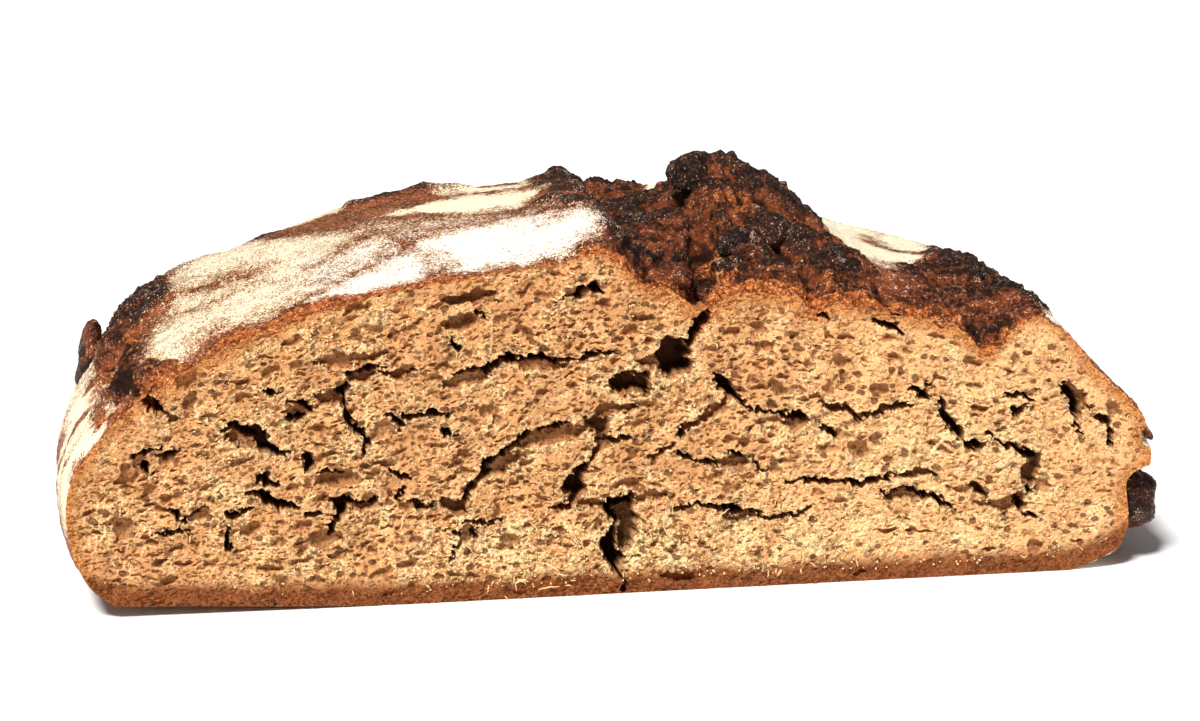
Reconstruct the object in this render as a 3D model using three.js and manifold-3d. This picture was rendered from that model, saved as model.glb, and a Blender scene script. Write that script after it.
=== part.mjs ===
// Half of a round farmhouse rye loaf, cut from top to base and standing on its flat underside.
// Millimetres, +Z up. X runs along the cut, the cut face looks along -Y, and the dome lies behind it.
// The loaf is one piece of bread: its crust, its crumb, and the tears and holes in the crumb
// are one solid.

import * as THREE from 'three';
import { mergeVertices } from 'three/addons/utils/BufferGeometryUtils.js';
import Module from 'manifold-3d';

// ---------------------------------------------------------------- driving sizes

const LOAF_RADIUS = 146;          // of the whole round loaf, at its widest line
const CUT_TO_CENTRE = 38;         // from the cut to the middle of the loaf
const DOME_HEIGHT = 93;           // top of the dome above the table
const WAIST_HEIGHT = 29.5;        // of the widest line, midway along the cut
const WAIST_TILT = 2;             // the widest line is this much higher on the right
const UNDERCUT = 0.055;           // share of the radius lost between the waist and the base
const BASE_ROUNDING = 0.03;       // share of the radius that the rounded base rim loses
const BASE_ROUNDING_RIGHT = 0.07; // and what it loses more at the right
const WAIST_AT = 0.85;            // the waist's place on the way from the top to the base rim
const RIM_WAVES = [[3, -1.7, 0.6], [5, 1.1, 1.9], [9, -0.5, 0.8]];  // waves, height, phase
const FLATTENINGS = [[4.4, 2.8, 0.32], [2.5, 0.45, 0.4]];  // of the rim: how much, angle, reach
const BASE_CURL = 3.6;            // height of the left end of the underside above the table
const CURL_STARTS = 50;           // the curl starts this far left of the middle

const CRUST_COLUMNS = 76;         // facets along the cut's arch
const CRUST_ROWS = 28;            // facets from the arch to the back of the loaf
const ROW_CROWDING = 1.25;        // over 1, the rows of facets crowd towards the cut
const FACE_ROWS = 9;              // facets from the base to the arch
const CRUMB_RELIEF = 0.7;         // how far the crumb stands out of the plane of the cut

// ---------------------------------------------------------------- small helpers

const bell = (u, middle, reach) => Math.exp(-(((u - middle) / reach) ** 2));
const ramp = (u, from, to) => THREE.MathUtils.smoothstep(u, from, to);
const golden = (n, step) => (n * step) % 1;    // evenly scattered numbers from 0 to 1

const wasm = await Module();
wasm.setup();

function solidOf(geometry) {
  geometry.deleteAttribute('normal');
  geometry.deleteAttribute('uv');
  const merged = mergeVertices(geometry, 1e-4);
  const corners = merged.index.array;
  const triangles = [];
  for (let i = 0; i < corners.length; i += 3) {
    const [a, b, c] = [corners[i], corners[i + 1], corners[i + 2]];
    if (a !== b && b !== c && c !== a) triangles.push(a, b, c);
  }
  return new wasm.Manifold(new wasm.Mesh({
    numProp: 3,
    vertProperties: Float32Array.from(merged.attributes.position.array),
    triVerts: Uint32Array.from(triangles),
  }));
}

// A closed skin from a grid of points: rows of points, quads between neighbouring rows.
function addGrid(skin, rows) {
  for (let j = 0; j + 1 < rows.length; j++) {
    for (let i = 0; i + 1 < rows[j].length; i++) {
      const [a, b, c, d] = [rows[j][i], rows[j][i + 1], rows[j + 1][i + 1], rows[j + 1][i]];
      skin.push(a, b, c, a, c, d);
    }
  }
}

function geometryFrom(skin) {
  const geometry = new THREE.BufferGeometry();
  geometry.setAttribute('position', new THREE.Float32BufferAttribute(skin.flat(), 3));
  return geometry;
}

// ---------------------------------------------------------------- the dome of crust

// Distance from the middle of the cut to the waist, in the direction of the angle.
function planRadius(angle) {
  const across = CUT_TO_CENTRE * Math.cos(angle);
  let radius = CUT_TO_CENTRE * Math.sin(angle) + Math.sqrt(LOAF_RADIUS ** 2 - across ** 2);
  for (const [waves, height, phase] of RIM_WAVES) radius += height * Math.sin(waves * angle + phase);
  for (const [much, middle, reach] of FLATTENINGS) radius -= much * bell(angle, middle, reach);
  return radius;
}

const baseHeight = (x) => BASE_CURL * ramp(-x, CURL_STARTS, LOAF_RADIUS);

// Shapes of one direction, from 0 to 1: a bell, a rise, a fall, and a stretch with soft edges.
const bellAt = (middle, reach) => (u) => bell(u, middle, reach);
const rising = (from, to) => (u) => ramp(u, from, to);
const falling = (from, to) => (u) => 1 - ramp(u, from, to);
const between = (from, to, edge) => (u) => ramp(u, from, from + edge) * (1 - ramp(u, to - edge, to));
const both = (first, second) => (u) => first(u) * second(u);

// What the burst, the flaps and the folds add to the height of the dome: how much, where along
// the cut, and how far back from it.
const SWELLS = [
  { height: -3.5, along: falling(-14, -4), back: bellAt(0, 16) },            // left flap's edge
  { height: -11, along: between(-7, 110, 16), back: bellAt(0, 27) },         // slope of the burst
  { height: -3.5, along: bellAt(130, 9), back: bellAt(0, 20) },
  { height: -6, along: bellAt(17, 5), back: bellAt(0, 16) },                 // crack by the flap
  { height: -3.5, along: bellAt(49.5, 3), back: bellAt(0, 8) },
  { height: -7, along: bellAt(94.6, 5), back: bellAt(0, 9) },                // notch at the right
  { height: -5, along: between(-4, 34, 9), back: between(2, 130, 24) },      // floor of the burst
  { height: -3, along: bellAt(12, 9), back: between(30, 130, 20) },
  { height: -8, along: bellAt(23, 6), back: bellAt(15, 14) },                // cleft in the floor
  { height: 11, along: both(rising(20, 25), falling(32, 70)), back: bellAt(54, 13) },  // torn peak
  { height: -5, along: bellAt(76, 20), back: bellAt(62, 45) },               // fold behind it
  { height: 1.5, along: bellAt(108, 14), back: bellAt(70, 30) },             // far right folds
  { height: 5, along: bellAt(-112, 24), back: bellAt(62, 36) },              // left shoulder
  { height: 3, along: bellAt(-50, 24), back: bellAt(84, 26) },
  { height: 2.5, along: bellAt(-9, 7), back: bellAt(30, 24) },               // burnt end of the flap
];
function crustSwell(x, depth) {
  return SWELLS.reduce((sum, { height, along, back }) => sum + height * along(x) * back(depth), 0);
}

// Crags: small lumps of torn dough, thick in the burst and sparse on the smooth flaps.
const CRAG_COUNT = 130;
const CRAG_HEIGHT = 3;
const CRAGS_FROM = -8;            // where the torn stretch starts, along the cut
const CRAGS_WIDTH = 122;
const CRAGS_DEPTH = 76;
const CRAG_REACH = [3.5, 6.5];    // of the smallest and the largest crag
function crags(x, depth) {
  let height = 0;
  for (let n = 1; n <= CRAG_COUNT; n++) {
    const cragX = CRAGS_FROM + CRAGS_WIDTH * golden(n, 0.618034);
    const cragDepth = CRAGS_DEPTH * golden(n, 0.754878);
    const reach = THREE.MathUtils.lerp(...CRAG_REACH, golden(n, 0.569840));
    const rise = n % 3 === 0 ? -CRAG_HEIGHT : CRAG_HEIGHT * golden(n, 0.438579);
    height += rise * bell(x, cragX, reach) * bell(depth, cragDepth, reach);
  }
  return height;
}

// A point of the crust: angle 0 to pi turns about the middle of the cut, from its right end by the
// back of the loaf to its left end; travel 0 to 1 runs from the top to the base rim.
function crustPoint(angle, travel) {
  const climb = Math.min(travel / WAIST_AT, 1) * Math.PI / 2;
  const fall = Math.max((travel - WAIST_AT) / (1 - WAIST_AT), 0);
  const rounding = BASE_ROUNDING + BASE_ROUNDING_RIGHT * Math.max(Math.cos(angle), 0);
  const share = Math.sin(climb) - UNDERCUT * fall ** 2 - rounding * fall ** 8;
  const radius = planRadius(angle);
  const x = radius * Math.cos(angle) * share;
  const depth = radius * Math.sin(angle) * share;
  const waist = WAIST_HEIGHT + WAIST_TILT * Math.cos(angle);
  if (fall > 0) return [x, depth, THREE.MathUtils.lerp(waist, baseHeight(x), fall)];
  const lift = Math.sqrt(radius ** 2
    - 2 * radius * CUT_TO_CENTRE * Math.sin(angle) / (1 + share)) / LOAF_RADIUS;
  const height = waist + (DOME_HEIGHT - waist) * Math.cos(climb) * lift;
  return [x, depth, height + (crustSwell(x, depth) + crags(x, depth)) * ramp(Math.cos(climb), 0, 0.4)];
}

// The square grid of columns and rows is bent to a half disc, whose straight side is the cut's arch.
const crustRows = [];
for (let j = 0; j <= CRUST_ROWS; j++) {
  const row = [];
  for (let i = 0; i <= CRUST_COLUMNS; i++) {
    const p = 1 - 2 * i / CRUST_COLUMNS;
    const q = (j / CRUST_ROWS) ** ROW_CROWDING;
    const u = p * Math.sqrt(1 - q * q / 2);
    const v = q * Math.sqrt(1 - p * p / 2);
    const onRim = j === CRUST_ROWS || i === 0 || i === CRUST_COLUMNS;
    row.push(crustPoint(Math.atan2(v, u), onRim ? 1 : Math.hypot(u, v)));
  }
  crustRows.push(row);
}
const skin = [];
addGrid(skin, crustRows.map((row) => row.slice().reverse()));

// ---------------------------------------------------------------- the cut face and the base

function crumbRelief(x, z) {
  return CRUMB_RELIEF * (Math.sin(0.19 * x + 0.11 * z) * Math.sin(0.23 * z + 1.3)
    + 0.6 * Math.sin(0.41 * x - 0.17 * z + 2));
}

const arch = crustRows[0];
const [rightCorner, leftCorner] = [arch[0], arch[CRUST_COLUMNS]];
const faceRows = [];
for (let j = 0; j <= FACE_ROWS; j++) {
  const up = j / FACE_ROWS;
  faceRows.push(arch.map(([archX, , archZ], i) => {
    const baseX = THREE.MathUtils.lerp(rightCorner[0], leftCorner[0], i / CRUST_COLUMNS);
    const x = THREE.MathUtils.lerp(baseX, archX, up);
    const z = THREE.MathUtils.lerp(baseHeight(baseX), archZ, up);
    const inside = j === 0 || j === FACE_ROWS || i === 0 || i === CRUST_COLUMNS ? 0 : 1;
    return [x, inside * crumbRelief(x, z), z];
  }));
}
addGrid(skin, faceRows.map((row) => row.slice().reverse()));

// The sole is the flat middle of the underside; the rim outside it may curl up.
const SOLE_STRIDE = 6;
const SOLE_SHARE = 0.8;
const SOLE_MIDDLE = [20, 62];
const rim = [
  ...faceRows[0].slice().reverse(),
  ...crustRows.map((row) => row[0]).slice(1),
  ...crustRows[CRUST_ROWS].slice(1),
  ...crustRows.map((row) => row[CRUST_COLUMNS]).reverse().slice(1, -1),
];
const [soleX, soleY] = SOLE_MIDDLE;
const sole = rim.filter((_, i) => i % SOLE_STRIDE === 0).map(([x, y]) => [
  THREE.MathUtils.lerp(soleX, x, SOLE_SHARE), THREE.MathUtils.lerp(soleY, y, SOLE_SHARE), 0]);
const outlineOf = (points) => points.map(([x, y]) => new THREE.Vector2(x, y));
const underside = [...rim, ...sole];
for (const [a, b, c] of THREE.ShapeUtils.triangulateShape(outlineOf(rim), [outlineOf(sole)])) {
  skin.push(underside[a], underside[c], underside[b]);
}
for (const [a, b, c] of THREE.ShapeUtils.triangulateShape(outlineOf(sole), [])) {
  skin.push(sole[a], sole[c], sole[b]);
}
let loaf = solidOf(geometryFrom(skin));

// ---------------------------------------------------------------- lumps and flakes of crust

function lump({ at, size, turn = [0, 0, 0], rough = 0.12, seed = 0 }) {
  const geometry = new THREE.SphereGeometry(1, 10, 7);
  geometry.deleteAttribute('normal');
  geometry.deleteAttribute('uv');
  const merged = mergeVertices(geometry, 1e-4);
  const place = merged.attributes.position;
  for (let i = 0; i < place.count; i++) {
    const point = new THREE.Vector3().fromBufferAttribute(place, i);
    const swell = 1 + rough * (Math.sin(4 * point.x + seed) * Math.cos(5 * point.y + 2 * seed)
      + 0.7 * Math.sin(6 * point.z + 3 * seed + 2 * point.x));
    place.setXYZ(i, ...point.multiplyScalar(swell).toArray());
  }
  merged.applyMatrix4(new THREE.Matrix4().compose(
    new THREE.Vector3(...at),
    new THREE.Quaternion().setFromEuler(new THREE.Euler(...turn)),
    new THREE.Vector3(...size),
  ));
  return solidOf(merged);
}

const LUMPS = [
  { at: [31, 53, 94], size: [8, 7, 8], turn: [0, 0.2, 0.2], rough: 0.14, seed: 1 },   // torn peak
  { at: [40, 52, 92], size: [11, 8, 8], turn: [0, 0.35, 0], rough: 0.12, seed: 2 },
  { at: [-6, 18, 86], size: [6, 8, 5], rough: 0.16, seed: 3 },          // burnt end of the flap
  { at: [-9, 38, 89], size: [7, 9, 5], rough: 0.16, seed: 4 },
  { at: [31, 10, 81], size: [5, 6, 5], turn: [0, 0, 0.4], rough: 0.18, seed: 5 },     // nuggets
  { at: [40, 13, 82], size: [5, 5, 5], rough: 0.18, seed: 6 },
  { at: [140, 15, 18], size: [6, 12, 9], turn: [0.2, 0, 0], rough: 0.14, seed: 7 },   // right lump
  { at: [-128, 47, 52], size: [4, 9, 13], turn: [0.1, -0.2, 0], rough: 0.1, seed: 8 },  // left flake
  { at: [-112, 55, 58], size: [8, 14, 8], turn: [0, -0.6, 0], rough: 0.14, seed: 9 },
  { at: [97, 66, 61], size: [10, 13, 6], turn: [0, 0.5, 0], rough: 0.14, seed: 10 },
  { at: [114, 52, 52], size: [8, 13, 6], turn: [0, 0.7, 0], rough: 0.14, seed: 11 },
];
for (const spec of LUMPS) loaf = loaf.add(lump(spec));

// ---------------------------------------------------------------- tears and holes

// A tear: a wedge that runs along a bowed, jagged line on the cut, wide at the face and narrow
// behind it. Points are [x, z] on the cut.
const OUT_OF_FACE = 3;            // how far a cutting wedge stands out of the cut
const TEAR_NARROWING = 0.3;       // width of the wedge's far edge against its near edge
function tear({ from, to, bow = 0, width, depth, bends = 3, jag = 0.25 }) {
  const along = new THREE.Vector2(to[0] - from[0], to[1] - from[1]);
  const across = new THREE.Vector2(-along.y, along.x).normalize();
  const near = [[], []];
  const far = [[], []];
  for (let i = 0; i <= bends; i++) {
    const t = i / bends;
    const swing = bow * Math.sin(Math.PI * t) + jag * width * Math.sin(7.3 * i + from[0]);
    const half = 0.5 * width * (0.3 + 0.7 * Math.sin(Math.PI * (0.12 + 0.76 * t)));
    for (const side of [0, 1]) {
      for (const [edge, y, share] of [[near, -OUT_OF_FACE, 1], [far, depth, TEAR_NARROWING]]) {
        const off = swing + (side ? half : -half) * share;
        edge[side].push([from[0] + along.x * t + across.x * off, y,
          from[1] + along.y * t + across.y * off]);
      }
    }
  }
  const wedge = [];
  addGrid(wedge, [near[0], near[1]]);
  addGrid(wedge, [near[1], far[1]]);
  addGrid(wedge, [far[1], far[0]]);
  addGrid(wedge, [far[0], near[0]]);
  wedge.push(near[0][0], near[1][0], far[1][0], near[0][0], far[1][0], far[0][0]);
  wedge.push(near[0][bends], far[1][bends], near[1][bends]);
  wedge.push(near[0][bends], far[0][bends], far[1][bends]);
  return solidOf(geometryFrom(wedge));
}

const TEARS = [
  { from: [-44, 57.5], to: [-4, 64], bow: 1.5, width: 2.6, depth: 11 },                // upper tears
  { from: [-46, 79], to: [-29, 79], bow: 0.4, width: 2.6, depth: 8, bends: 3 },
  { from: [-17, 78], to: [-3, 80.5], width: 2.6, depth: 8, bends: 3 },
  { from: [19.5, 73.5], to: [17.5, 64.5], width: 4.2, depth: 12, bends: 2 },
  { from: [20, 63.5], to: [7, 60], width: 7, depth: 14, bends: 3 },
  { from: [9, 57.5], to: [-4, 51.5], width: 5.5, depth: 13, bends: 3 },
  { from: [-2, 51.5], to: [-16, 22.5], bow: -1.5, width: 3.6, depth: 12, bends: 6, jag: 0.3 },
  { from: [-11, 45.5], to: [-46, 24], bow: 3.5, width: 2.8, depth: 11, bends: 7 },  // middle
  { from: [-62, 47.5], to: [-43, 49], bow: 1, width: 2, depth: 8 },
  { from: [-47, 45], to: [-40, 44.5], width: 2, depth: 7, bends: 2 },
  { from: [24.5, 56.5], to: [48, 44.5], bow: -3, width: 3, depth: 12, bends: 5 },
  { from: [24, 51.5], to: [9, 36], bow: -1, width: 2, depth: 9 },
  { from: [13, 35], to: [34, 34.5], bow: 0.8, width: 1.8, depth: 7 },
  { from: [43, 26.5], to: [73, 28], bow: 0.5, width: 2, depth: 10, bends: 5 },        // lower right
  { from: [3, 25.5], to: [48, 18], bow: -1, width: 2.4, depth: 11, bends: 7 },
  { from: [72, 25.5], to: [88, 17.5], bow: 1, width: 2, depth: 9 },
  { from: [74, 52.5], to: [98, 33.5], bow: 0.5, width: 3, depth: 12, bends: 5 },
  { from: [96, 38.5], to: [110, 29], bow: 1, width: 3, depth: 11, bends: 3 },
  { from: [109.5, 31], to: [106, 19], width: 3, depth: 11, bends: 3 },
  { from: [114, 53], to: [121, 36.5], width: 2.4, depth: 9, bends: 3 },
  { from: [125, 43], to: [130, 33], width: 2.2, depth: 8, bends: 2 },
  { from: [-1, 27], to: [0, 4.5], width: 4.6, depth: 15, bends: 4, jag: 0.2 },        // base crack
  { from: [-105, 48.5], to: [-84, 40.5], bow: 1.5, width: 3, depth: 11 },             // left
  { from: [-85, 54], to: [-76, 47], width: 2.8, depth: 9, bends: 3 },
  { from: [-72.5, 58.5], to: [-64.5, 38], bow: 0.5, width: 2.4, depth: 10, bends: 5 },
  { from: [-95, 35], to: [-87, 27.5], width: 3.2, depth: 9, bends: 3 },
  { from: [-75.5, 19.5], to: [-70, 29], width: 2.6, depth: 9, bends: 2 },
  { from: [-71, 26.5], to: [-61, 26.5], width: 2.4, depth: 8, bends: 2 },
  { from: [-101, 22], to: [-100, 15], width: 2.2, depth: 8, bends: 2 },
];
for (const spec of TEARS) loaf = loaf.subtract(tear(spec));

// Holes: gas bubbles cut open by the knife, [x, z, half width, half height].
const HOLES = [
  [-40.5, 73.1, 5.6, 2], [-7.4, 79.8, 3.2, 2.2], [-18.9, 41.8, 7.6, 2.6], [27.3, 53.8, 3.4, 3.4],
  [35.4, 68.7, 3.6, 1.5], [69.4, 67.9, 4.2, 2.2], [103.7, 47, 3.8, 1.7], [128.4, 43.1, 2.2, 3.2],
  [45.6, 42.7, 2.8, 2.6], [54.6, 39.5, 3.3, 2.2], [92.9, 22.7, 4.2, 1.6], [101, 17.6, 4.2, 1.7],
  [-11.1, 29.7, 3, 3.8], [-0.4, 21, 3, 4.4], [29.9, 21, 6.6, 1.8], [15, 4.4, 5, 1.4],
  [-72.9, 33.7, 6.6, 1.7], [-75.9, 17.9, 4.2, 1.8], [-126.6, 22.5, 2.8, 3.2], [-120.2, 40, 3, 2.9],
  [-112.6, 40.7, 3.6, 1.8], [-107.6, 26.1, 2.8, 2.3], [-89.2, 10.5, 4, 1.4], [-93.6, 21.1, 3.2, 1.5],
  [-108.7, 60.1, 2.3, 2], [-95.7, 55.4, 1.8, 1.4], [-41.7, 14.6, 3.2, 2], [62.8, 4.5, 2.4, 1.4],
];
const HOLE_FLATNESS = 0.8;        // depth of a hole against its mean half size
function hole([x, z, halfWidth, halfHeight]) {
  const ball = new THREE.SphereGeometry(1, 8, 4);
  ball.scale(halfWidth, HOLE_FLATNESS * (halfWidth + halfHeight), halfHeight);
  ball.translate(x, 0, z);
  return solidOf(ball);
}
for (const spec of HOLES) loaf = loaf.subtract(hole(spec));

// The hollow between the left flap and the side of the loaf, and the crack that it ends in.
const HOLLOW = { at: [-127, 14, 60], size: [8, 14, 9], turn: [0.2, -0.75, -0.2], rough: 0.1, seed: 12 };
const HOLLOW_CRACK = { from: [-124, 58], to: [-103, 45], bow: -1, width: 4, depth: 13 };
loaf = loaf.subtract(lump(HOLLOW)).subtract(tear(HOLLOW_CRACK));

// ---------------------------------------------------------------- the finished loaf

const [whole] = loaf.decompose().sort((a, b) => b.volume() - a.volume());
const mesh = whole.getMesh();
const geometry = new THREE.BufferGeometry();
geometry.setAttribute('position', new THREE.Float32BufferAttribute(mesh.vertProperties, 3));
geometry.setIndex([...mesh.triVerts]);
geometry.computeBoundingBox();
const { min, max } = geometry.boundingBox;
geometry.translate(-(min.x + max.x) / 2, -(min.y + max.y) / 2, -min.z);
geometry.computeVertexNormals();

const bread = new THREE.MeshStandardMaterial({ color: 0xb98a5a, roughness: 0.9, metalness: 0 });
const loafMesh = new THREE.Mesh(geometry, bread);
loafMesh.name = 'rye_loaf';

const group = new THREE.Group();
group.add(loafMesh);
export default group;
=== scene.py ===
import bpy
import numpy as np
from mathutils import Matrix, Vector


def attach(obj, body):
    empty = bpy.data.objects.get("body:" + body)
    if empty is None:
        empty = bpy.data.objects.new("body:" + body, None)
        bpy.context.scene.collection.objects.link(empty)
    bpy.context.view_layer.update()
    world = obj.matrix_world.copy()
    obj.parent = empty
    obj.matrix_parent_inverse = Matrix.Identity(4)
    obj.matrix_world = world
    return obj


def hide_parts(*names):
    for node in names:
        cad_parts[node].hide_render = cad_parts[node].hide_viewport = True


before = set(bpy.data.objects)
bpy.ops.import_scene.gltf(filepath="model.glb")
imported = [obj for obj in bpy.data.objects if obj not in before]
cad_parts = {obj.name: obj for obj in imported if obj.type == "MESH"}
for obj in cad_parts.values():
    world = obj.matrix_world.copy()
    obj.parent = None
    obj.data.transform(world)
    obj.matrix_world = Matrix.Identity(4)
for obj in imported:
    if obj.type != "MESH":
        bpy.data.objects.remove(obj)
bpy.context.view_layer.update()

# ---------------------------------------------------------------- the crust
# The outside of a round farmhouse loaf that was baked on a stone: floured flaps of smooth skin,
# and between them the burst, where the rye dough tore open in the oven and charred in lumps.
# It is one skin, from the edge of the cut over the top and down to the rim of the underside.

LOAF_RADIUS = 146.0               # millimetres, as all sizes here; metres only in the meshes
CUT_TO_CENTRE = 38.0
DOME_HEIGHT = 93.0
WAIST_HEIGHT = 29.5
WAIST_TILT = 2.0                  # how much higher the waist runs at the right end
WAIST_AT = 0.85                   # its share of the way from the top to the base rim
UNDERCUT = 0.055                  # how far the sides draw in below the waist, against the radius
BASE_ROUNDING = 0.03
BASE_ROUNDING_RIGHT = 0.07
RIM_WAVES = ((3, -1.7, 0.6), (5, 1.1, 1.9), (9, -0.5, 0.8))     # waves round, height, phase
FLATTENINGS = ((4.4, 2.8, 0.32), (2.5, 0.45, 0.4))              # how much, at what angle, reach
BASE_CURL = 3.6
CURL_STARTS = 50.0
LOAF_MIDDLE = np.array((-2.492, -91.777, 0.0))   # the middle of the cut's foot, in the frame

CRUST_COLUMNS = 1040
CRUST_ROWS = 300
CRUST_PIECES = 4
FRONT_CROWDING = 0.5              # spacing of the rows at the cut against their mean spacing

# What the burst, the flaps and the folds add to the dome: the height, then the place along the cut
# and the place back from it. A place is a middle and a reach, or else a start, an end and the width
# of its edges, or of each edge.
SWELLS = (
    (-3.5, (-400, -4, 10), (0, 16)),      # the left flap droops at the cut
    (-11, (-7, 110, 16), (0, 27)),        # the burst lies low at the cut
    (-3.5, (130, 9), (0, 20)),
    (-3.5, (19, 4), (0, 16)),
    (-3.5, (49.5, 3), (0, 8)),
    (-4, (94.6, 6), (0, 9)),
    (-5, (-4, 34, 9), (2, 130, 24)),      # the trough of the burst, and its bed
    (-3, (12, 9), (30, 130, 20)),
    (-8, (23, 6), (15, 14)),              # the cleft
    (10, (26, 72, 5, 36), (54, 12)),      # the peak, steep to its left
    (-5, (76, 20), (62, 45)),             # the fold behind the burst
    (1.5, (108, 14), (70, 30)),
    (5, (-112, 24), (62, 36)),            # the left flap's far end and its back
    (3, (-50, 24), (84, 26)),
    (2.5, (-9, 7), (30, 24)),             # its lip along the burst
)


def bell(u, middle, reach):
    """A smooth bump: e to the minus ((u - middle) / reach) squared."""
    return np.exp(-(((u - middle) / reach) ** 2))


def ramp(u, start, end):
    """A smooth step from 0 at start to 1 at end: 3t^2 - 2t^3."""
    t = np.clip((u - start) / (end - start), 0.0, 1.0)
    return t * t * (3.0 - 2.0 * t)


def between(u, start, end, edge, far_edge=None):
    """1 from start to end, with smooth edges of the given widths inside them."""
    return ramp(u, start, start + edge) * (1.0 - ramp(u, end - (far_edge or edge), end))


def near(u, place):
    """A bell for a place of two numbers, a middle and a reach, and otherwise 1 between its ends."""
    return bell(u, *place) if len(place) == 2 else between(u, *place)


def chance(keys, seed):
    """A random number from 0 to 1 for each whole-numbered cell: the cell's numbers are multiplied by
    large odd numbers and folded into each other."""
    mixed = np.full(keys[0].shape, (seed * 374761393 + 668265263) % 2 ** 32, dtype=np.uint32)
    for key, factor in zip(keys, (0x8DA6B343, 0xD8163841, 0xCB1AB31F)):
        mixed = mixed ^ (key.astype(np.int64).astype(np.uint32) * np.uint32(factor))
        mixed = (mixed ^ (mixed >> np.uint32(15))) * np.uint32(0x2C1B3C6D)
        mixed = mixed ^ (mixed >> np.uint32(12))
    return mixed / 4294967295.0


def hills(points, size, seed):
    """Smooth random hills from -1 to 1: each corner of a lattice of the given size has its own
    height, blended between corners by 3t^2 - 2t^3 along each axis."""
    scaled = points / size
    corner = np.floor(scaled)
    share = scaled - corner
    share = share * share * (3.0 - 2.0 * share)
    axes = points.shape[-1]
    total = np.zeros(points.shape[:-1])
    for corner_index in range(2 ** axes):
        steps = [(corner_index >> axis) & 1 for axis in range(axes)]
        weight = np.ones_like(total)
        for axis, step in enumerate(steps):
            weight *= share[..., axis] if step else 1.0 - share[..., axis]
        total += weight * chance([corner[..., a] + steps[a] for a in range(axes)], seed)
    return 2.0 * total - 1.0


def rough_hills(points, size, seed, octaves=3, gain=0.5):
    """Hills on hills: each octave has half the size and gain times the height of the one before."""
    return sum(gain ** n * hills(points, size / 2 ** n, seed + n) for n in range(octaves))


def ridges(points, size, seed, octaves=4, gain=0.55):
    """Sharp-edged crags from about -1 to 1: 0.6 times the sum of gain^n (1 - 2 |hills|) over the
    octaves, each with half the size of the one before."""
    return sum(gain ** n * (1.0 - 2.0 * np.abs(hills(points, size / 2 ** n, seed + n)))
               for n in range(octaves)) * 0.6


def lumps(points, size, seed):
    """Rounded lumps side by side: every cell of a lattice holds one centre at a random place, and
    the height is 1 - (distance to the nearest centre / size)^2. Also each lump's own number."""
    corner = np.floor(points / size)
    nearest = np.full(points.shape[:-1], 9.0)
    owner = np.zeros(points.shape[:-1])
    axes = points.shape[-1]
    for neighbour in range(3 ** axes):
        cell = corner + np.array([(neighbour // 3 ** axis) % 3 - 1 for axis in range(axes)])
        keys = [cell[..., axis] for axis in range(axes)]
        gap = sum((keys[a] + chance(keys, seed + a) - points[..., a] / size) ** 2 for a in range(axes))
        owner = np.where(gap < nearest, chance(keys, seed + 7), owner)
        nearest = np.minimum(nearest, gap)
    return np.clip(1.0 - nearest, 0.0, 1.0), owner


def plan_radius(angle):
    """Distance from the middle of the cut to the waist: the circle of the loaf seen from a point
    off its centre, plus slow waves and two flattened places."""
    across = CUT_TO_CENTRE * np.cos(angle)
    radius = CUT_TO_CENTRE * np.sin(angle) + np.sqrt(LOAF_RADIUS ** 2 - across ** 2)
    for waves, height, phase in RIM_WAVES:
        radius = radius + height * np.sin(waves * angle + phase)
    for much, middle, reach in FLATTENINGS:
        radius = radius - much * bell(angle, middle, reach)
    return radius


def base_height(x):
    """Height of the underside's edge: 0, and on the left a smooth step up to the curl at the rim."""
    return BASE_CURL * ramp(-x, CURL_STARTS, LOAF_RADIUS)


def crust_swell(x, depth):
    """What the swells add to the dome: the sum of height * near(along) * near(back)."""
    return sum(height * near(x, along) * near(depth, back) for height, along, back in SWELLS)


def crust_surface(p, q):
    """The dome over a square bent to a half disc (u = p sqrt(1 - q^2/2), v = q sqrt(1 - p^2/2)):
    the angle of (u, v) turns about the middle of the cut, and its length runs from the top by a
    quarter ellipse to the waist and by a parabola to the base rim."""
    u = p * np.sqrt(1.0 - q * q / 2.0)
    v = q * np.sqrt(1.0 - p * p / 2.0)
    angle = np.arctan2(v, u)
    travel = np.minimum(np.hypot(u, v), 1.0)
    climb = np.minimum(travel / WAIST_AT, 1.0) * np.pi / 2
    fall = np.maximum((travel - WAIST_AT) / (1.0 - WAIST_AT), 0.0)
    rounding = BASE_ROUNDING + BASE_ROUNDING_RIGHT * np.maximum(np.cos(angle), 0.0)
    share = np.sin(climb) - UNDERCUT * fall ** 2 - rounding * fall ** 8
    radius = plan_radius(angle)
    x = radius * np.cos(angle) * share
    depth = radius * np.sin(angle) * share
    waist = WAIST_HEIGHT + WAIST_TILT * np.cos(angle)
    lift = np.sqrt(radius ** 2
                   - 2 * radius * CUT_TO_CENTRE * np.sin(angle) / (1 + share)) / LOAF_RADIUS
    height = waist + (DOME_HEIGHT - waist) * np.cos(climb) * lift
    height = height + crust_swell(x, depth) * ramp(np.cos(climb), 0.0, 0.4)
    below = waist + (base_height(x) - waist) * fall
    return np.stack((x, depth, np.where(fall > 0.0, below, height)), axis=-1)


END_STARTS, END_FULL = 95.0, 122.0        # where the right end's trim starts and is full
SHOULDER_UP, SHOULDER_REACH = 52.0, 13.0
DENT_DEPTH = 6.0
NICK_UP, NICK_REACH, NICK_DEPTH = 34.0, 1.2, 2.6


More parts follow.
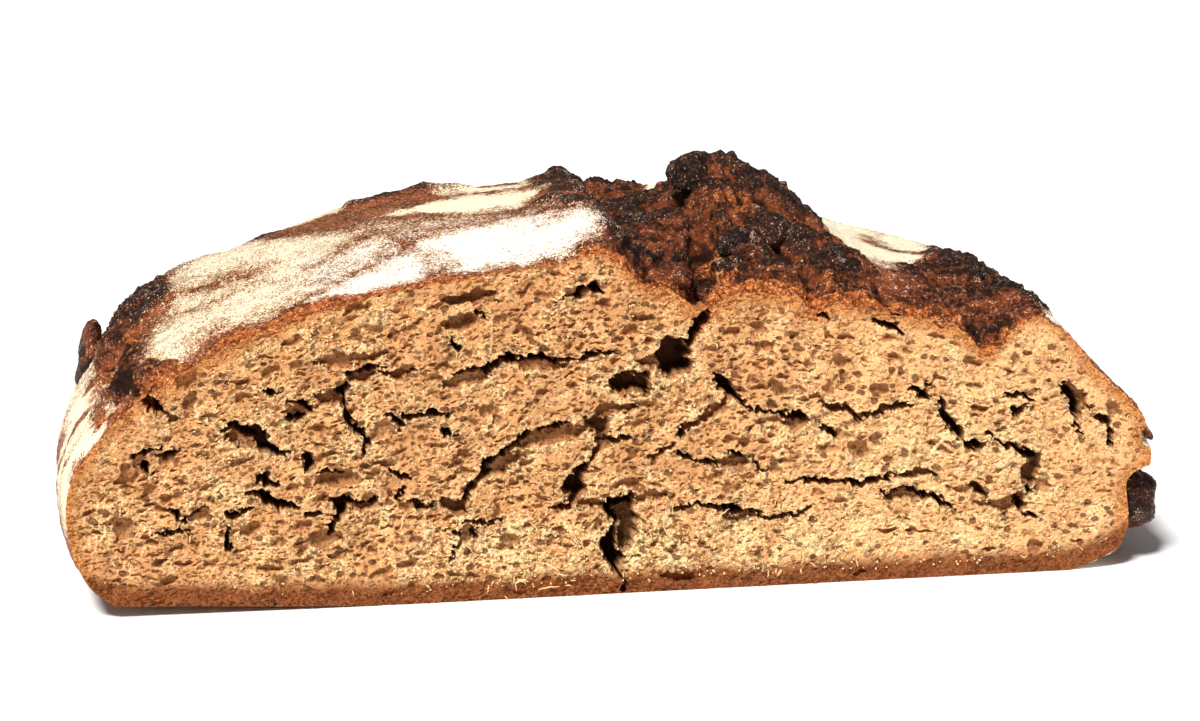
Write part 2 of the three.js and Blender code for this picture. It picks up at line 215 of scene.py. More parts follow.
def end_trim(x, depth, z):
    """How far the right end stands in, along the cut: the sum of a bell for a flattened shoulder,
    which leans in more behind the cut, a dent low beside the cut, and a bell for a nick above it."""
    shoulder = bell(z, SHOULDER_UP, SHOULDER_REACH) * (1.8 + 2.6 * ramp(depth, 0.0, 10.0))
    ragged = z + 1.3 * rough_hills(np.stack((x, depth, z), axis=-1), 4.5, 145, 3)
    dent = DENT_DEPTH * between(ragged, 3.0, 28.5, 21.0, 3.0) * (1.0 - ramp(depth, 6.0, 16.0))
    nick = NICK_DEPTH * bell(ragged, NICK_UP, NICK_REACH) * (1.0 - ramp(depth, 2.0, 5.0))
    return ramp(x, END_STARTS, END_FULL) * (shoulder + dent + nick)


def even_arch(count):
    """Places along the cut's arch at equal distances, from its left foot to its right one."""
    fine = np.linspace(-1.0, 1.0, 4001)
    arch = crust_surface(fine, np.zeros_like(fine))
    run = np.concatenate(((0.0,), np.cumsum(np.linalg.norm(np.diff(arch, axis=0), axis=1))))
    return np.interp(np.linspace(0.0, run[-1], count), run, fine)


def outward(points):
    """Unit normals of a grid of points: the cross product of its two directions."""
    normal = np.cross(np.gradient(points, axis=1), np.gradient(points, axis=0))
    return normal / np.maximum(np.linalg.norm(normal, axis=-1, keepdims=True), 1e-9)


def around(values, reach):
    """The mean of a grid's values over a square of neighbours, reach to each side."""
    for axis in (0, 1):
        padding = [(reach + 1, reach) if a == axis else (0, 0) for a in (0, 1)]
        sums = np.cumsum(np.pad(values, padding, mode="edge"), axis=axis)
        count = values.shape[axis]
        values = (np.take(sums, np.arange(2 * reach + 1, 2 * reach + 1 + count), axis=axis)
                  - np.take(sums, np.arange(count), axis=axis)) / (2 * reach + 1)
    return values


def inside_outline(x, y, outline):
    """Signed distance to a closed outline, above 0 inside: the distance to the nearest edge, with
    the sign of the even-odd rule."""
    corners = np.array(outline, dtype=float)
    nearest = np.full(x.shape, 1e9)
    odd = np.zeros(x.shape, dtype=bool)
    for (ax, ay), (bx, by) in zip(corners, np.roll(corners, -1, axis=0)):
        ex, ey = bx - ax, by - ay
        t = np.clip(((x - ax) * ex + (y - ay) * ey) / max(ex * ex + ey * ey, 1e-9), 0.0, 1.0)
        nearest = np.minimum(nearest, np.hypot(x - ax - t * ex, y - ay - t * ey))
        crosses = (ay > y) != (by > y)
        odd ^= crosses & (x < ax + ex * (y - ay) / (ey if ey else 1e-9))
    return np.where(odd, nearest, -nearest)


# Floured patches: how well they are covered, and their outlines in plan, along the cut and back.
FLOUR_PATCHES = (
    (0.8, ((-41, 9.5), (-36, 7.5), (-28, 6.5), (-20, 7), (-12, 8), (-4, 10), (-2, 18), (-7, 25),
           (-13, 23), (-17, 30), (-22, 33), (-30, 32), (-38, 30), (-47, 26), (-49, 22), (-43, 18))),
    (0.76, ((-76, 10.5), (-68, 7), (-58, 5.5), (-50, 6.5), (-46, 13), (-50, 24), (-58, 22), (-66, 17),
            (-72, 16))),
    (0.5, ((-50, 8), (-38, 8), (-38, 26), (-50, 26))),
    (0.95, ((-54, 60), (-44, 57), (-36, 53), (-33, 47), (-26, 46), (-18, 49), (-12, 57), (-10, 62),
            (-20, 66), (-30, 67), (-44, 66))),
    (0.8, ((-36, 74), (-20, 72), (-10, 74), (-12, 84), (-36, 86))),
    (0.59, ((-112, 48), (-110, 58), (-106, 80), (-88, 84), (-84, 70), (-76, 62), (-66, 55), (-60, 50),
            (-61, 43), (-68, 38), (-76, 31), (-84, 27), (-90, 33), (-90, 38), (-84, 43), (-92, 47),
            (-104, 45))),
    (0.57, ((-121.5, 30), (-114, 36), (-100, 33), (-90, 36), (-76, 32), (-68, 36), (-70, 30), (-80, 22),
            (-90, 14), (-97, 10), (-101, 13), (-108, 8), (-115, 8), (-120, 17))),
    (0.58, ((-110, 44), (-104, 43), (-88, 39), (-88, 32), (-104, 32), (-112, 36))),
    (0.5, ((-92, 32), (-80, 32), (-62, 38), (-54, 40), (-54, 26), (-72, 16), (-80, 9), (-94, 11))),
    (0.35, ((-60, 58), (-36, 46), (-18, 40), (-8, 40), (-10, 28), (-30, 34), (-50, 28), (-62, 42))),
    (0.8, ((-74, 84), (-58, 82), (-54, 100), (-76, 100))),
    (0.9, ((-136, 44), (-131, 50), (-126, 54), (-121, 57), (-120, 61), (-126, 61), (-134, 60))),
    (1.0, ((66, 41), (63, 60), (66, 78), (72, 100), (90, 100), (86, 80), (80, 76), (76, 68), (79, 58),
           (84, 54), (91, 50), (90, 42), (84, 38), (76, 36), (71, 38))),
    (0.9, ((84, 62), (92, 55), (98, 70), (104, 98), (92, 98), (84, 76))),
    (0.56, ((70, 34), (80, 36), (86, 14), (80, 9), (74, 20))),
    (0.6, ((87, 34), (91, 34), (99, 23), (95, 20))),
    (0.9, ((109, 13), (112, -3), (130, -3), (126, 20), (118, 30), (112, 24))),
)
BURST_OUTLINE = ((-2, -3), (-2, 14), (1, 30), (-5, 52), (-4, 90), (2, 134), (26, 134), (34, 98),
                 (56, 80), (64, 60), (66, 38), (72, 26), (84, 38), (93, 52), (92, 66), (104, 60),
                 (112, 30), (113, -3))
LEFT_BURN_OUTLINE = ((-108, -3), (-110, 5), (-118, 13), (-122, 26), (-121, 40), (-110, 48), (-109, 66),
                     (-121, 80), (-128, 62), (-127.5, 48), (-128, 34), (-127, 12), (-123, -3))
# Burnt lumps (height above 0) and hollows (below 0) of the burst and its rims: the middle in plan,
# the reach along the cut and back from it, and the height.
MOUNDS = (
    (-10, 42, 4, 5, 2.0), (-6, 31, 4, 4, 2.6), (-3, 24, 3, 4, 2.6), (-1, 17, 3, 4, 2.4), (1, 12, 3, 3, 1.6),
    (-4, 54, 5, 5, 2.4), (-8, 66, 5, 5, 2.4), (-5, 84, 6, 7, 2.6), (36, 25, 4, 4, 3.2),
    (32, 20, 3, 3, 2.4), (44, 32, 3, 4, 3.2), (39, 19, 3, 3, 1.8), (53, 28, 5, 6, 2.0),
    (60, 22, 5, 5, 1.6), (99, 50, 6, 8, 0.6), (95, 40, 4, 5, 1.4), (102, 35, 4, 5, 1.2),
    (108, 26, 4, 7, 1.2), (112, 14, 3, 5, 1.2), (-116, 62, 6, 7, 1.4), (-113, 52, 5, 5, 1.6),
    (-118, 50, 4, 4, 1.2), (-104, 72, 5, 6, 1.6), (46, 23, 3, 4, -4.5), (50, 16, 2.6, 4, -4.5),
    (28, 32, 5, 8, -4.0), (70, 6, 3, 4, -3.2), (105, 31, 2.4, 4, -3.2), (13, 26, 5, 7, -2.4),
    (86, 26, 3, 5, -2.0), (33, 58, 5, 6, 0.5), (42, 55, 8, 7, 0.5), (53, 52, 7, 6, 0.5),
    (10, 20, 7, 4, 0.5), (14, 52, 7, 9, 0.5), (8, 84, 10, 12, 0.5),
    (-40, 86, 6, 5, 3.0), (-32, 82, 5, 4, 1.6), (-50, 84, 4, 4, 1.2), (-58, 83, 4, 4, 2.0),
    (-84, 80, 5, 5, 1.2),
)
# Deep holes: the middle along, back and up, the reaches likewise, and the depth.
HOLLOWS = (
    ((-126.5, 31, 60), (4.5, 14, 15), 3.6), ((-122, 10, 58), (3.5, 8, 12), 3.0),
    ((-121.5, 3, 57), (2.4, 5, 9), 3.0), ((28.5, 28, 82), (7.5, 12, 15), 4.6),
    ((94, 2, 66), (3, 4, 9), 3.0), ((104.5, 30, 70), (2.6, 6, 12), 3.5),
)
# The dark core of the left hollow: painted shade, near black, laid on through the pits' field.
LEFT_SHADE = ((-129, 38), (-125, 40), (-122, 30), (-120.5, 14), (-119, 2), (-122, 2), (-125, 18),
              (-128, 28))
# Where the dough came to the outside late and stayed orange-brown: the middle in plan, the reaches,
# and how strongly.
LATE_CRUST = (
    (29, 29, 6.5, 9, 0.8), (28.5, 12, 3, 9, 0.8), (37, 43, 10, 5, 0.6), (12, 120, 13, 20, 0.35),
    (57, 12, 12, 7, 0.5), (-115, 8, 6, 9, 0.9), (-123, 36, 5, 12, 0.55), (97, 2, 5, 3, 0.9),
    (-114, 14, 5, 6, 0.7),
    (34, 50, 9, 5, 0.3), (8, 26, 6, 5, 0.4), (62, 40, 8, 12, 0.45), (-136, 4, 12, 9, 1.0),
)

crust_p = even_arch(CRUST_COLUMNS + 1)
row_share = np.linspace(0.0, 1.0, CRUST_ROWS + 1)
crust_q = FRONT_CROWDING * row_share + (1.0 - FRONT_CROWDING) * row_share ** 2
P, Q = np.meshgrid(crust_p, crust_q)
smooth_crust = crust_surface(P, Q)
X, D, Z = (smooth_crust[..., axis] for axis in range(3))        # along the cut, back and up

WANDER = 2.6                      # how far the edges of patches and tears stray from their outlines
wander_x = X + WANDER * rough_hills(smooth_crust, 9.0, 11, 4, 0.6)
wander_d = D + WANDER * rough_hills(smooth_crust, 9.0, 21, 4, 0.6)


def blot(middle, back, reach_x, reach_d, spread=1.0):
    """A bell along the cut times a bell back from it, with both reaches times the spread."""
    return bell(wander_x, middle, spread * reach_x) * bell(wander_d, back, spread * reach_d)


def covered(outline, start=-2.0, end=2.0):
    """A smooth step over the distance in from an outline in plan, from start to end."""
    return ramp(inside_outline(wander_x, wander_d, outline), start, end)


burst = covered(BURST_OUTLINE) * ramp(Z, 34.0, 52.0)
torn = np.clip(burst + covered(LEFT_BURN_OUTLINE), 0.0, 1.0)
# The strip of crust at the cut that the knife rubbed, wider along the left flap and the burst.
strip = (3.0 + 5.5 * between(X, -108, -52, 16) + 2.0 * between(X, -60, 0, 10)
         + 3.0 * between(X, 2, 92, 20))
rubbed = (1.0 - ramp(wander_d - 0.35 * (wander_x - X), strip - 2.0, strip + 1.5)) * ramp(Z, 26.0, 44.0)

BIG_LUMP, SMALL_LUMP, TINY_LUMP, RIDGE = 1.6, 1.5, 1.0, 3.0     # their heights in the burst
LUMP_MEAN = 0.6
CHAR_SPREAD = 1.3                 # how far the char goes round a burnt lump, against its reach
bent_crust = smooth_crust + 2 * np.stack(
    [hills(smooth_crust, 6.0, 41 + axis) for axis in range(3)], axis=-1)
big_lumps, _ = lumps(bent_crust, 6.5, 51)
small_lumps, small_tint = lumps(smooth_crust, 2.8, 61)
tiny_lumps, _ = lumps(smooth_crust, 1.3, 71)
slow_hills = rough_hills(smooth_crust, 22.0, 91, 3)
torn_relief = (BIG_LUMP * (big_lumps - LUMP_MEAN)
               + SMALL_LUMP * (small_lumps - LUMP_MEAN) * (0.5 + small_tint)
               + TINY_LUMP * (tiny_lumps - LUMP_MEAN)
               + RIDGE * ridges(smooth_crust, 9.0, 101) * (0.7 + 0.5 * slow_hills))
skin_relief = (0.5 * slow_hills + 0.2 * rough_hills(smooth_crust, 1.2, 81, 2)
               + 0.5 * (small_lumps - 0.5) * ramp(slow_hills, -0.2, 0.6))
relief = torn * torn_relief + (1.0 - torn) * skin_relief
charred = np.zeros(X.shape)
for *place, height in MOUNDS:
    relief += height * blot(*place) ** (0.7 if height > 0 else 1.0)
    if height > 0:
        charred = np.maximum(charred, blot(*place, CHAR_SPREAD))
for (middle, back, up), (reach_x, reach_d, reach_z), deep in HOLLOWS:
    inside = 1.0 - (((wander_x - middle) / reach_x) ** 2 + ((wander_d - back) / reach_d) ** 2
                    + ((Z - up) / reach_z) ** 2)
    relief -= deep * np.sqrt(np.clip(inside, 0.0, 1.0))
relief += rubbed * (0.6 * (tiny_lumps - LUMP_MEAN) + 0.3 * (small_lumps - LUMP_MEAN))
# How far each place lies below its wide and its close surroundings, raised over the left hollow's dark core;
# the finish paints shade, near black, where it is high.
pitted = (np.clip((around(relief, 10) - relief) / 2.6, -1.0, 1.0)
          + np.clip((around(relief, 3) - relief) / 1.6, -1.0, 1.0) + 1.6 * covered(LEFT_SHADE, -1.5, 1.0))

floured = np.zeros(X.shape)
for strength, patch in FLOUR_PATCHES:
    within = inside_outline(wander_x, wander_d, patch) / (15.0 - 7.0 * strength)
    floured = np.maximum(floured, strength * np.clip(0.5 + within, 0.0, 1.0))
# Flour also lies in drifts on the back, and in streaks down the flanks.
behind = (ramp(D + 16 * rough_hills(smooth_crust, 34.0, 116, 3), 84.0, 106.0) * (1.0 - burst)
          * ramp(rough_hills(smooth_crust, 40.0, 111, 3), -0.5, 0.1))
streaks = rough_hills(smooth_crust * (1, 1, 0.3), 4.5, 121, 3)
flanks = (1.0 - ramp(Z, 44.0, 62.0)) * (0.42 + 0.75 * streaks) * ramp(Z, 12.0, 36.0)
floured = np.maximum(floured, np.maximum(0.95 * behind, flanks))
floured *= (1.0 - 0.85 * torn) * (1.0 - 0.9 * rubbed) * (1.0 - 0.5 * charred)
relief += 0.35 * floured * ramp(rough_hills(smooth_crust, 3.0, 131, 2), -0.4, 0.6)
# Rust-orange crumbs: where the knife rubbed the crust, and where the dough came out late.
rust = (0.55 + 0.45 * between(X, -108, 92, 20)) * rubbed
for *place, much in LATE_CRUST:
    rust = np.maximum(rust, much * blot(*place))
rust *= ramp(Z, 4.0, 18.0)

# The relief fades out at the rims, and the edge at the cut is a little uneven in height.
to_edge = np.minimum(ramp(Q, 0.0, 0.012), ramp(1.0 - np.maximum(np.abs(P), Q), 0.0, 0.02))
crust_points = smooth_crust + outward(smooth_crust) * (relief * to_edge)[..., None]
crust_points[..., 0] -= end_trim(X, D, Z)
crust_points[..., 2] += 0.7 * bell(Q, 0.0, 0.008) * rough_hills(smooth_crust, 3.0, 141, 3) * ramp(Z, 8, 30)


def add_piece(name, points, faces, finish, fields=None, flat=None):
    """A mesh of the given points, in millimetres from the middle of the cut's foot, and faces, with
    a number for each point under each field's name, and its place on a flat map."""
    mesh = bpy.data.meshes.new(name)
    placed = (points.reshape(-1, 3) + LOAF_MIDDLE) * 0.001
    mesh.vertices.add(len(placed))
    mesh.vertices.foreach_set("co", placed.astype(np.float32).ravel())
    mesh.loops.add(faces.size)
    mesh.loops.foreach_set("vertex_index", faces.astype(np.int32).ravel())
    mesh.polygons.add(len(faces))
    mesh.polygons.foreach_set("loop_start", np.arange(0, faces.size, faces.shape[1], dtype=np.int32))
    mesh.polygons.foreach_set("use_smooth", np.full(len(faces), True))
    mesh.update(calc_edges=True)
    for field, values in (fields or {}).items():
        layer = mesh.attributes.new(field, "FLOAT", "POINT")
        layer.data.foreach_set("value", values.astype(np.float32).ravel())
    if flat is not None:
        layer = mesh.uv_layers.new(name="OFBake")
        layer.data.foreach_set("uv", flat.reshape(-1, 2)[faces.ravel()].astype(np.float32).ravel())
    mesh.materials.append(finish)
    piece = bpy.data.objects.new(name, mesh)
    bpy.context.scene.collection.objects.link(piece)
    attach(piece, "root")
    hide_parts("rye_loaf")


def grid_quads(rows, columns):
    """Quads of a grid of points, turned so that they face the way in which columns cross rows."""
    index = np.arange(rows * columns).reshape(rows, columns)
    return np.stack((index[:-1, :-1], index[:-1, 1:], index[1:, 1:], index[1:, :-1]),
                    axis=-1).reshape(-1, 4)


def flat_map(rows, columns):
    """Even places of a grid's points on a square, clear of its edges."""
    return np.stack(np.meshgrid(np.linspace(0.004, 0.996, columns),
                                np.linspace(0.004, 0.996, rows)), axis=-1)


def add_strips(name, count, points, finish, fields):
    """A grid of points as so many pieces, each with the same number of rows of quads. Neighbours
    have the points of their common edge in both."""
    rows_each = (len(points) - 1) // count
    for strip_index in range(count):
        rows = slice(strip_index * rows_each, (strip_index + 1) * rows_each + 1)
        size = points[rows].shape[:2]
        add_piece(f"{name}_{strip_index + 1}", points[rows], grid_quads(*size), finish,
                  {field: values[rows] for field, values in fields.items()}, flat_map(*size))


class Wire:
    """A node's output that sums like a number: each operator adds one Math node."""

    def __init__(self, look, socket):
        self.look, self.socket = look, socket

    def math(self, operation, *values):
        return self.look.add("ShaderNodeMath", {"operation": operation}, dict(enumerate(values)))

    def __add__(self, other):
        return self.math("ADD", self, other)

    def __sub__(self, other):
        return self.math("SUBTRACT", self, other)

    def __rsub__(self, other):
        return self.math("SUBTRACT", other, self)

    def __mul__(self, other):
        return self.math("MULTIPLY", self, other)

    __radd__ = __add__
    __rmul__ = __mul__


class Look:
    """A material in the making; add() makes one node and hands back one of its outputs."""

    def __init__(self, name):
        self.material = bpy.data.materials.new(name)
        self.material.use_nodes = True
        self.tree = self.material.node_tree
        self.tree.nodes.clear()

    def add(self, kind, settings=None, inputs=None, output=0):
        node = self.tree.nodes.new(kind)
        for setting, value in (settings or {}).items():
            setattr(node, setting, value)
        for key, value in (inputs or {}).items():
            if isinstance(value, Wire):
                self.tree.links.new(value.socket, node.inputs[key])
            else:
                node.inputs[key].default_value = value
        return Wire(self, node.outputs[output]) if node.outputs else None

    def place(self):
        """The object's own coordinates, in metres."""
        return self.add("ShaderNodeTexCoord", output="Object")

    def field(self, name):
        """The number that each point of the mesh has under this name."""
        return self.add("ShaderNodeAttribute", {"attribute_name": name}, output="Fac")

    def noise(self, scale, detail=3.0, roughness=0.55):
        """Soft noise round 0.5, with so many waves to the metre."""
        return self.add("ShaderNodeTexNoise", None, {"Vector": self.place(), "Scale": scale,
                                                     "Detail": detail, "Roughness": roughness})

    def cells(self, where, scale):
        """Distance to the middle of the nearest cell, and that cell's own tone."""
        inputs = {"Vector": where, "Scale": scale}
        return [self.add("ShaderNodeTexVoronoi", {"feature": "F1"}, inputs, output)
                for output in ("Distance", "Color")]

    def step(self, value, start, end):
        """A smooth step of the value, from 0 at start to 1 at end."""
        return self.add("ShaderNodeMapRange", {"interpolation_type": "SMOOTHSTEP"},
                        {"Value": value, "From Min": start, "From Max": end})

    def mix(self, share, first, second):
        """The first colour where the share is 0, the second where it is 1."""
        first, second = (tone if isinstance(tone, Wire) else (*tone, 1.0) for tone in (first, second))
        return self.add("ShaderNodeMix", {"data_type": "RGBA"}, {0: share, 6: first, 7: second}, output=2)

    def bump(self, strength, distance, height):
        """The normal of a surface raised by the distance, in metres, times the height."""
        return self.add("ShaderNodeBump", None,
                        {"Strength": strength, "Distance": distance, "Height": height})

    def finish(self, inputs):
        """The material, with one shader of these inputs."""
        shader = self.add("ShaderNodeBsdfPrincipled", None, inputs)
        self.add("ShaderNodeOutputMaterial", None, {"Surface": shader})
        return self.material


def shade(red, green, blue):
    """A colour given in screen values from 0 to 255, as the linear numbers that shaders use: the
    power 2.4 of (screen + 0.055) / 1.055, and screen / 12.92 near black."""
    screen = np.array((red, green, blue)) / 255.0
    linear = np.where(screen <= 0.04045, screen / 12.92, ((screen + 0.055) / 1.055) ** 2.4)
    return tuple(float(level) for level in linear)


# The crust's colours; of a pair, the second shows where the grain stands out.
SKIN = shade(76, 31, 13), shade(158, 84, 40)
SKIN_SPECKS = shade(244, 216, 176)
TORN_DOUGH = shade(30, 11, 5), shade(112, 50, 20)
TORN_SPECKS = shade(168, 94, 48)
RECESS = shade(126, 62, 26)
CHAR = shade(22, 11, 6), shade(92, 56, 34)
LATE = shade(102, 43, 15), shade(198, 104, 42)
LATE_SPECKS = shade(250, 184, 108)
FLOUR_FILM = shade(208, 160, 110)
FLOUR = shade(253, 245, 228), shade(253, 237, 204)              # white, and cream further back
# Painted highlight: a pale grey-pink for glints on the burst's lumps.
GLINT_HIGHLIGHT = shade(222, 186, 156)
# Painted shade: near black for the deepest pits and the left hollow's core.
PIT_SHADE = shade(18, 7, 4)


def crust_finish():
    """Baked skin: red-brown between the flour; in the burst maroon to near black on its lumps, with
    a few grains painted pale as glints, and rust-orange crumbs next to the cut and in the cleft; white
    flour on top, dense in the middle of a patch and speckled at its edges; painted shade, near black,
    in the deepest pits and the left hollow's core."""
    look = Look("baked_crust")
    flour, torn, rust = look.field("flour"), look.field("torn"), look.field("rust")
    charred, pit, cream = look.field("charred"), look.field("pitted"), look.field("cream")
    patches = look.noise(90.0, 4.0, 0.6)
    blots = look.noise(330.0, 5.0, 0.65)
    grit = look.noise(1100.0, 4.0, 0.75)
    dots = look.noise(2400.0, 2.0, 0.6)
    skin = look.mix(look.step(grit + 0.6 * (patches - 0.5), 0.35, 0.62), *SKIN)
    skin = look.mix(look.step(dots + 0.5 * (grit - 0.5), 0.61, 0.68) * 0.7, skin, SKIN_SPECKS)
    dough = look.mix(look.step(blots + 1.1 * (patches - 0.5), 0.38, 0.64), *TORN_DOUGH)
    specks = look.step(grit + 0.3 * (blots - 0.5) + 0.3 * (patches - 0.5), 0.5, 0.66)
    brown = look.mix(torn, skin, look.mix(specks * 0.8, dough, TORN_SPECKS))
    low = look.step(pit + 0.5 * (blots - 0.5), 0.05, 0.4) * torn
    brown = look.mix(low * 0.6, brown, RECESS)
    burnt = look.step(charred + 0.5 * (blots - 0.5) - 0.55 * pit * torn, 0.35, 0.7)
    brown = look.mix(burnt * 0.85, brown, look.mix(look.step(grit, 0.5, 0.7), *CHAR))
    orange = look.mix(look.step(grit + 0.8 * (blots - 0.5), 0.4, 0.58), *LATE)
    orange = look.mix(look.step(grit + 0.4 * (dots - 0.5), 0.56, 0.63) * 0.75, orange, LATE_SPECKS)
    late = look.step(rust + 0.9 * (blots - 0.5) + 0.5 * (grit - 0.5), 0.35, 0.75)
    brown = look.mix(late * 0.88, brown, orange)
    film = look.step(flour + 0.8 * (blots - 0.5) + 0.8 * (grit - 0.5), 0.16, 0.42)
    brown = look.mix(film * 0.5, brown, FLOUR_FILM)
    cover = look.step(flour + 0.7 * (blots - 0.5) + 1.3 * (grit - 0.5) + 2.1 * (dots - 0.5)
                      + 0.6 * (patches - 0.5), 0.43, 0.5)
    powder = look.mix(look.step(cream + 0.5 * (patches - 0.5), 0.2, 0.8), *FLOUR)
    colour = look.mix(cover, brown, powder)
    # Painted highlights: sparse pale grains on the torn crust, a few more on charred lumps and knobs, stand
    # in for glints of light.
    painted_glints = look.step(dots + 0.8 * (blots - 0.5) + 0.08 * look.step(charred, 0.75, 1.0) - 0.05 * pit,
                       0.68, 0.75)
    colour = look.mix(painted_glints * torn * 0.5, colour, GLINT_HIGHLIGHT)
    # Painted shade: the places that lie deepest below their surroundings are painted near black.
    colour = look.mix(look.step(pit + 0.3 * (grit - 0.5), 0.35, 1.2) * 0.9, colour, PIT_SHADE)
    rough = 0.45 + 0.45 * cover + 0.2 * (grit - 0.5) + 0.4 * look.step(pit, 0.2, 0.8)
    return look.finish({"Base Color": colour, "Roughness": rough, "Specular IOR Level": 0.18,
                        "Normal": look.bump(0.8, 0.0009, grit + 0.8 * blots + 0.3 * dots)})


crust_look = crust_finish()
cream = np.maximum(ramp(D, 24.0, 50.0), 1.0 - ramp(Z, 44.0, 62.0))
add_strips("crust", CRUST_PIECES, crust_points, crust_look, {
    "flour": floured, "torn": torn, "rust": rust, "charred": charred, "pitted": pitted,
    "cream": np.maximum(cream, 0.8 * (1.0 - ramp(X, -88.0, -60.0))),
})

# ---------------------------------------------------------------- the burnt crags
# Knobs and flakes of dough that stood up in the burst and at the flaps' ends, and charred there.
# They grew out of the crust, so each is sunk into it for a part of its height.

# The middle along, back and up, the reaches likewise, the lean towards +X, how charred, how floured.
CRAGS = (
    ((29.0, 53, 97.4), (5.8, 6, 4.9), 0.0, 0.75, 0.0), ((31, 53, 90), (4.2, 5, 7), 0.0, 0.2, 0.0),
    ((39.5, 52, 93.4), (8, 7, 6.2), 0.3, 0.6, 0.0), ((49, 50, 88.5), (8, 6.5, 4), 0.55, 0.4, 0.0),
    ((-2, 17, 86), (4.5, 6, 4.5), 0.0, 1.0, 0.0), ((-7, 40, 90), (6.5, 7, 4.2), 0.0, 1.0, 0.0),
    ((-2, 29, 86.5), (4, 6, 4.2), 0.2, 0.9, 0.0), ((0.5, 10, 82), (4, 4, 3), 0.4, 0.6, 0.0),
    ((34, 26, 84.5), (3.6, 3.5, 3.9), 0.0, 0.9, 0.0), ((43.5, 29, 86), (3.5, 4, 5), 0.5, 0.9, 0.0),
    ((38, 20, 82), (4, 4, 3.2), 0.0, 0.3, 0.0), ((13, 12, 78.5), (7, 5, 2.6), 0.15, 0.3, 0.0),
    ((137.8, 15, 15.6), (6, 11, 7.8), 0.0, 0.35, 0.0), ((-130.6, 62, 50.5), (2.8, 7, 11.8), 0.1, 0.4, 0.0),
    ((-114, 56, 58), (6, 12, 7), -0.5, 0.7, 0.0), ((97, 60, 58.5), (9, 12, 5), 0.5, 0.7, 0.0),
    ((111.5, 48, 50.5), (7, 12, 5.5), 0.7, 0.8, 0.0), ((16, 16, 79), (5, 6, 3), -0.1, 0.5, 0.0),
    ((60, 24, 77), (6, 6, 3.6), 0.3, 1.0, 0.0), ((-116.5, 12, 59.5), (4, 6, 3), 0.2, 0.1, 0.0),
    ((-112, 8, 60.5), (3.6, 5, 2.6), 0.3, 0.1, 0.0), ((138.4, 2, 36.2), (3.2, 2.6, 1.1), 0.8, 0.1, 0.0),
)
CRAG_RINGS = 44
CRAG_SPOKES = 72


def ball(rings, spokes):
    """Points of a unit ball, (sin a cos b, sin a sin b, cos a), with one at each pole, and its
    triangles, closed across the seam."""
    a = np.linspace(0.0, np.pi, rings + 1)[1:-1, None]
    b = np.linspace(0.0, 2 * np.pi, spokes, endpoint=False)[None, :]
    body = np.stack((np.sin(a) * np.cos(b), np.sin(a) * np.sin(b), np.cos(a) + 0 * b), axis=-1)
    points = np.concatenate((body.reshape(-1, 3), ((0, 0, 1), (0, 0, -1))))
    index = np.arange((rings - 1) * spokes).reshape(rings - 1, spokes)
    after = np.roll(index, -1, axis=1)
    top, bottom = len(points) - 2, len(points) - 1
    sides = np.concatenate((
        np.stack((index[:-1], index[1:], after[1:]), axis=-1).reshape(-1, 3),
        np.stack((index[:-1], after[1:], after[:-1]), axis=-1).reshape(-1, 3),
        np.stack((np.full(spokes, top), index[0], after[0]), axis=-1),
        np.stack((np.full(spokes, bottom), after[-1], index[-1]), axis=-1)))
    return points, sides


crag_ball, crag_sides = ball(CRAG_RINGS, CRAG_SPOKES)
crag_points, crag_faces, crag_pits = [], [], []
for middle, reach, lean, *_ in CRAGS:
    form = crag_ball * np.array(reach)
    form = np.stack((form[:, 0] * np.cos(lean) + form[:, 2] * np.sin(lean), form[:, 1],
                     form[:, 2] * np.cos(lean) - form[:, 0] * np.sin(lean)), axis=-1) + np.array(middle)
    bumps, _ = lumps(form, 4.2, 151)
    grains, _ = lumps(form, 1.7, 161)
    swollen = (min(1.0, min(reach) / 3.5) * (1.0 * (bumps - 0.5) + 0.6 * (grains - 0.5))
               + 0.24 * min(reach) * (ridges(form, 5.5, 171) + rough_hills(form, 7.0, 175, 2)))
    crag_faces.append(crag_sides + len(crag_points) * len(crag_ball))
    crag_points.append(form + crag_ball * swollen[:, None])
    crag_pits.append(-0.25 * swollen)
# Crags that are hardly charred have some rust on them.
crag_char, crag_flour = np.repeat([crag[-2:] for crag in CRAGS], len(crag_ball), axis=0).T
add_piece("burnt_crags", np.concatenate(crag_points), np.concatenate(crag_faces), crust_look, {
    "flour": crag_flour, "torn": np.ones(crag_char.shape), "rust": 0.45 * (crag_char < 0.15),
    "charred": crag_char, "pitted": np.concatenate(crag_pits), "cream": np.zeros(crag_char.shape),
})

# ---------------------------------------------------------------- the cut crumb
# The inside of the loaf as the knife left it: a moist tan rye crumb full of small flattened bubbles,
# torn open along the lines where the dough tore as it rose. The crumb is denser and browner in the
# last few millimetres below the crust.

CRUMB_ROWS = 492
CRUMB_PIECES = 6
CRUMB_COLUMNS = 2 * CRUST_COLUMNS - 2 * CRUMB_ROWS    # what the rows at both sides leave of the arch
CRUMB_WAVES = 0.7                 # height of the slow waves that the knife left
DOME_LAYERS = 205.0               # the larger, the flatter the bubbles lie along the dome
TEAR_SPREAD = 1.22                # width of the tears, against the table's

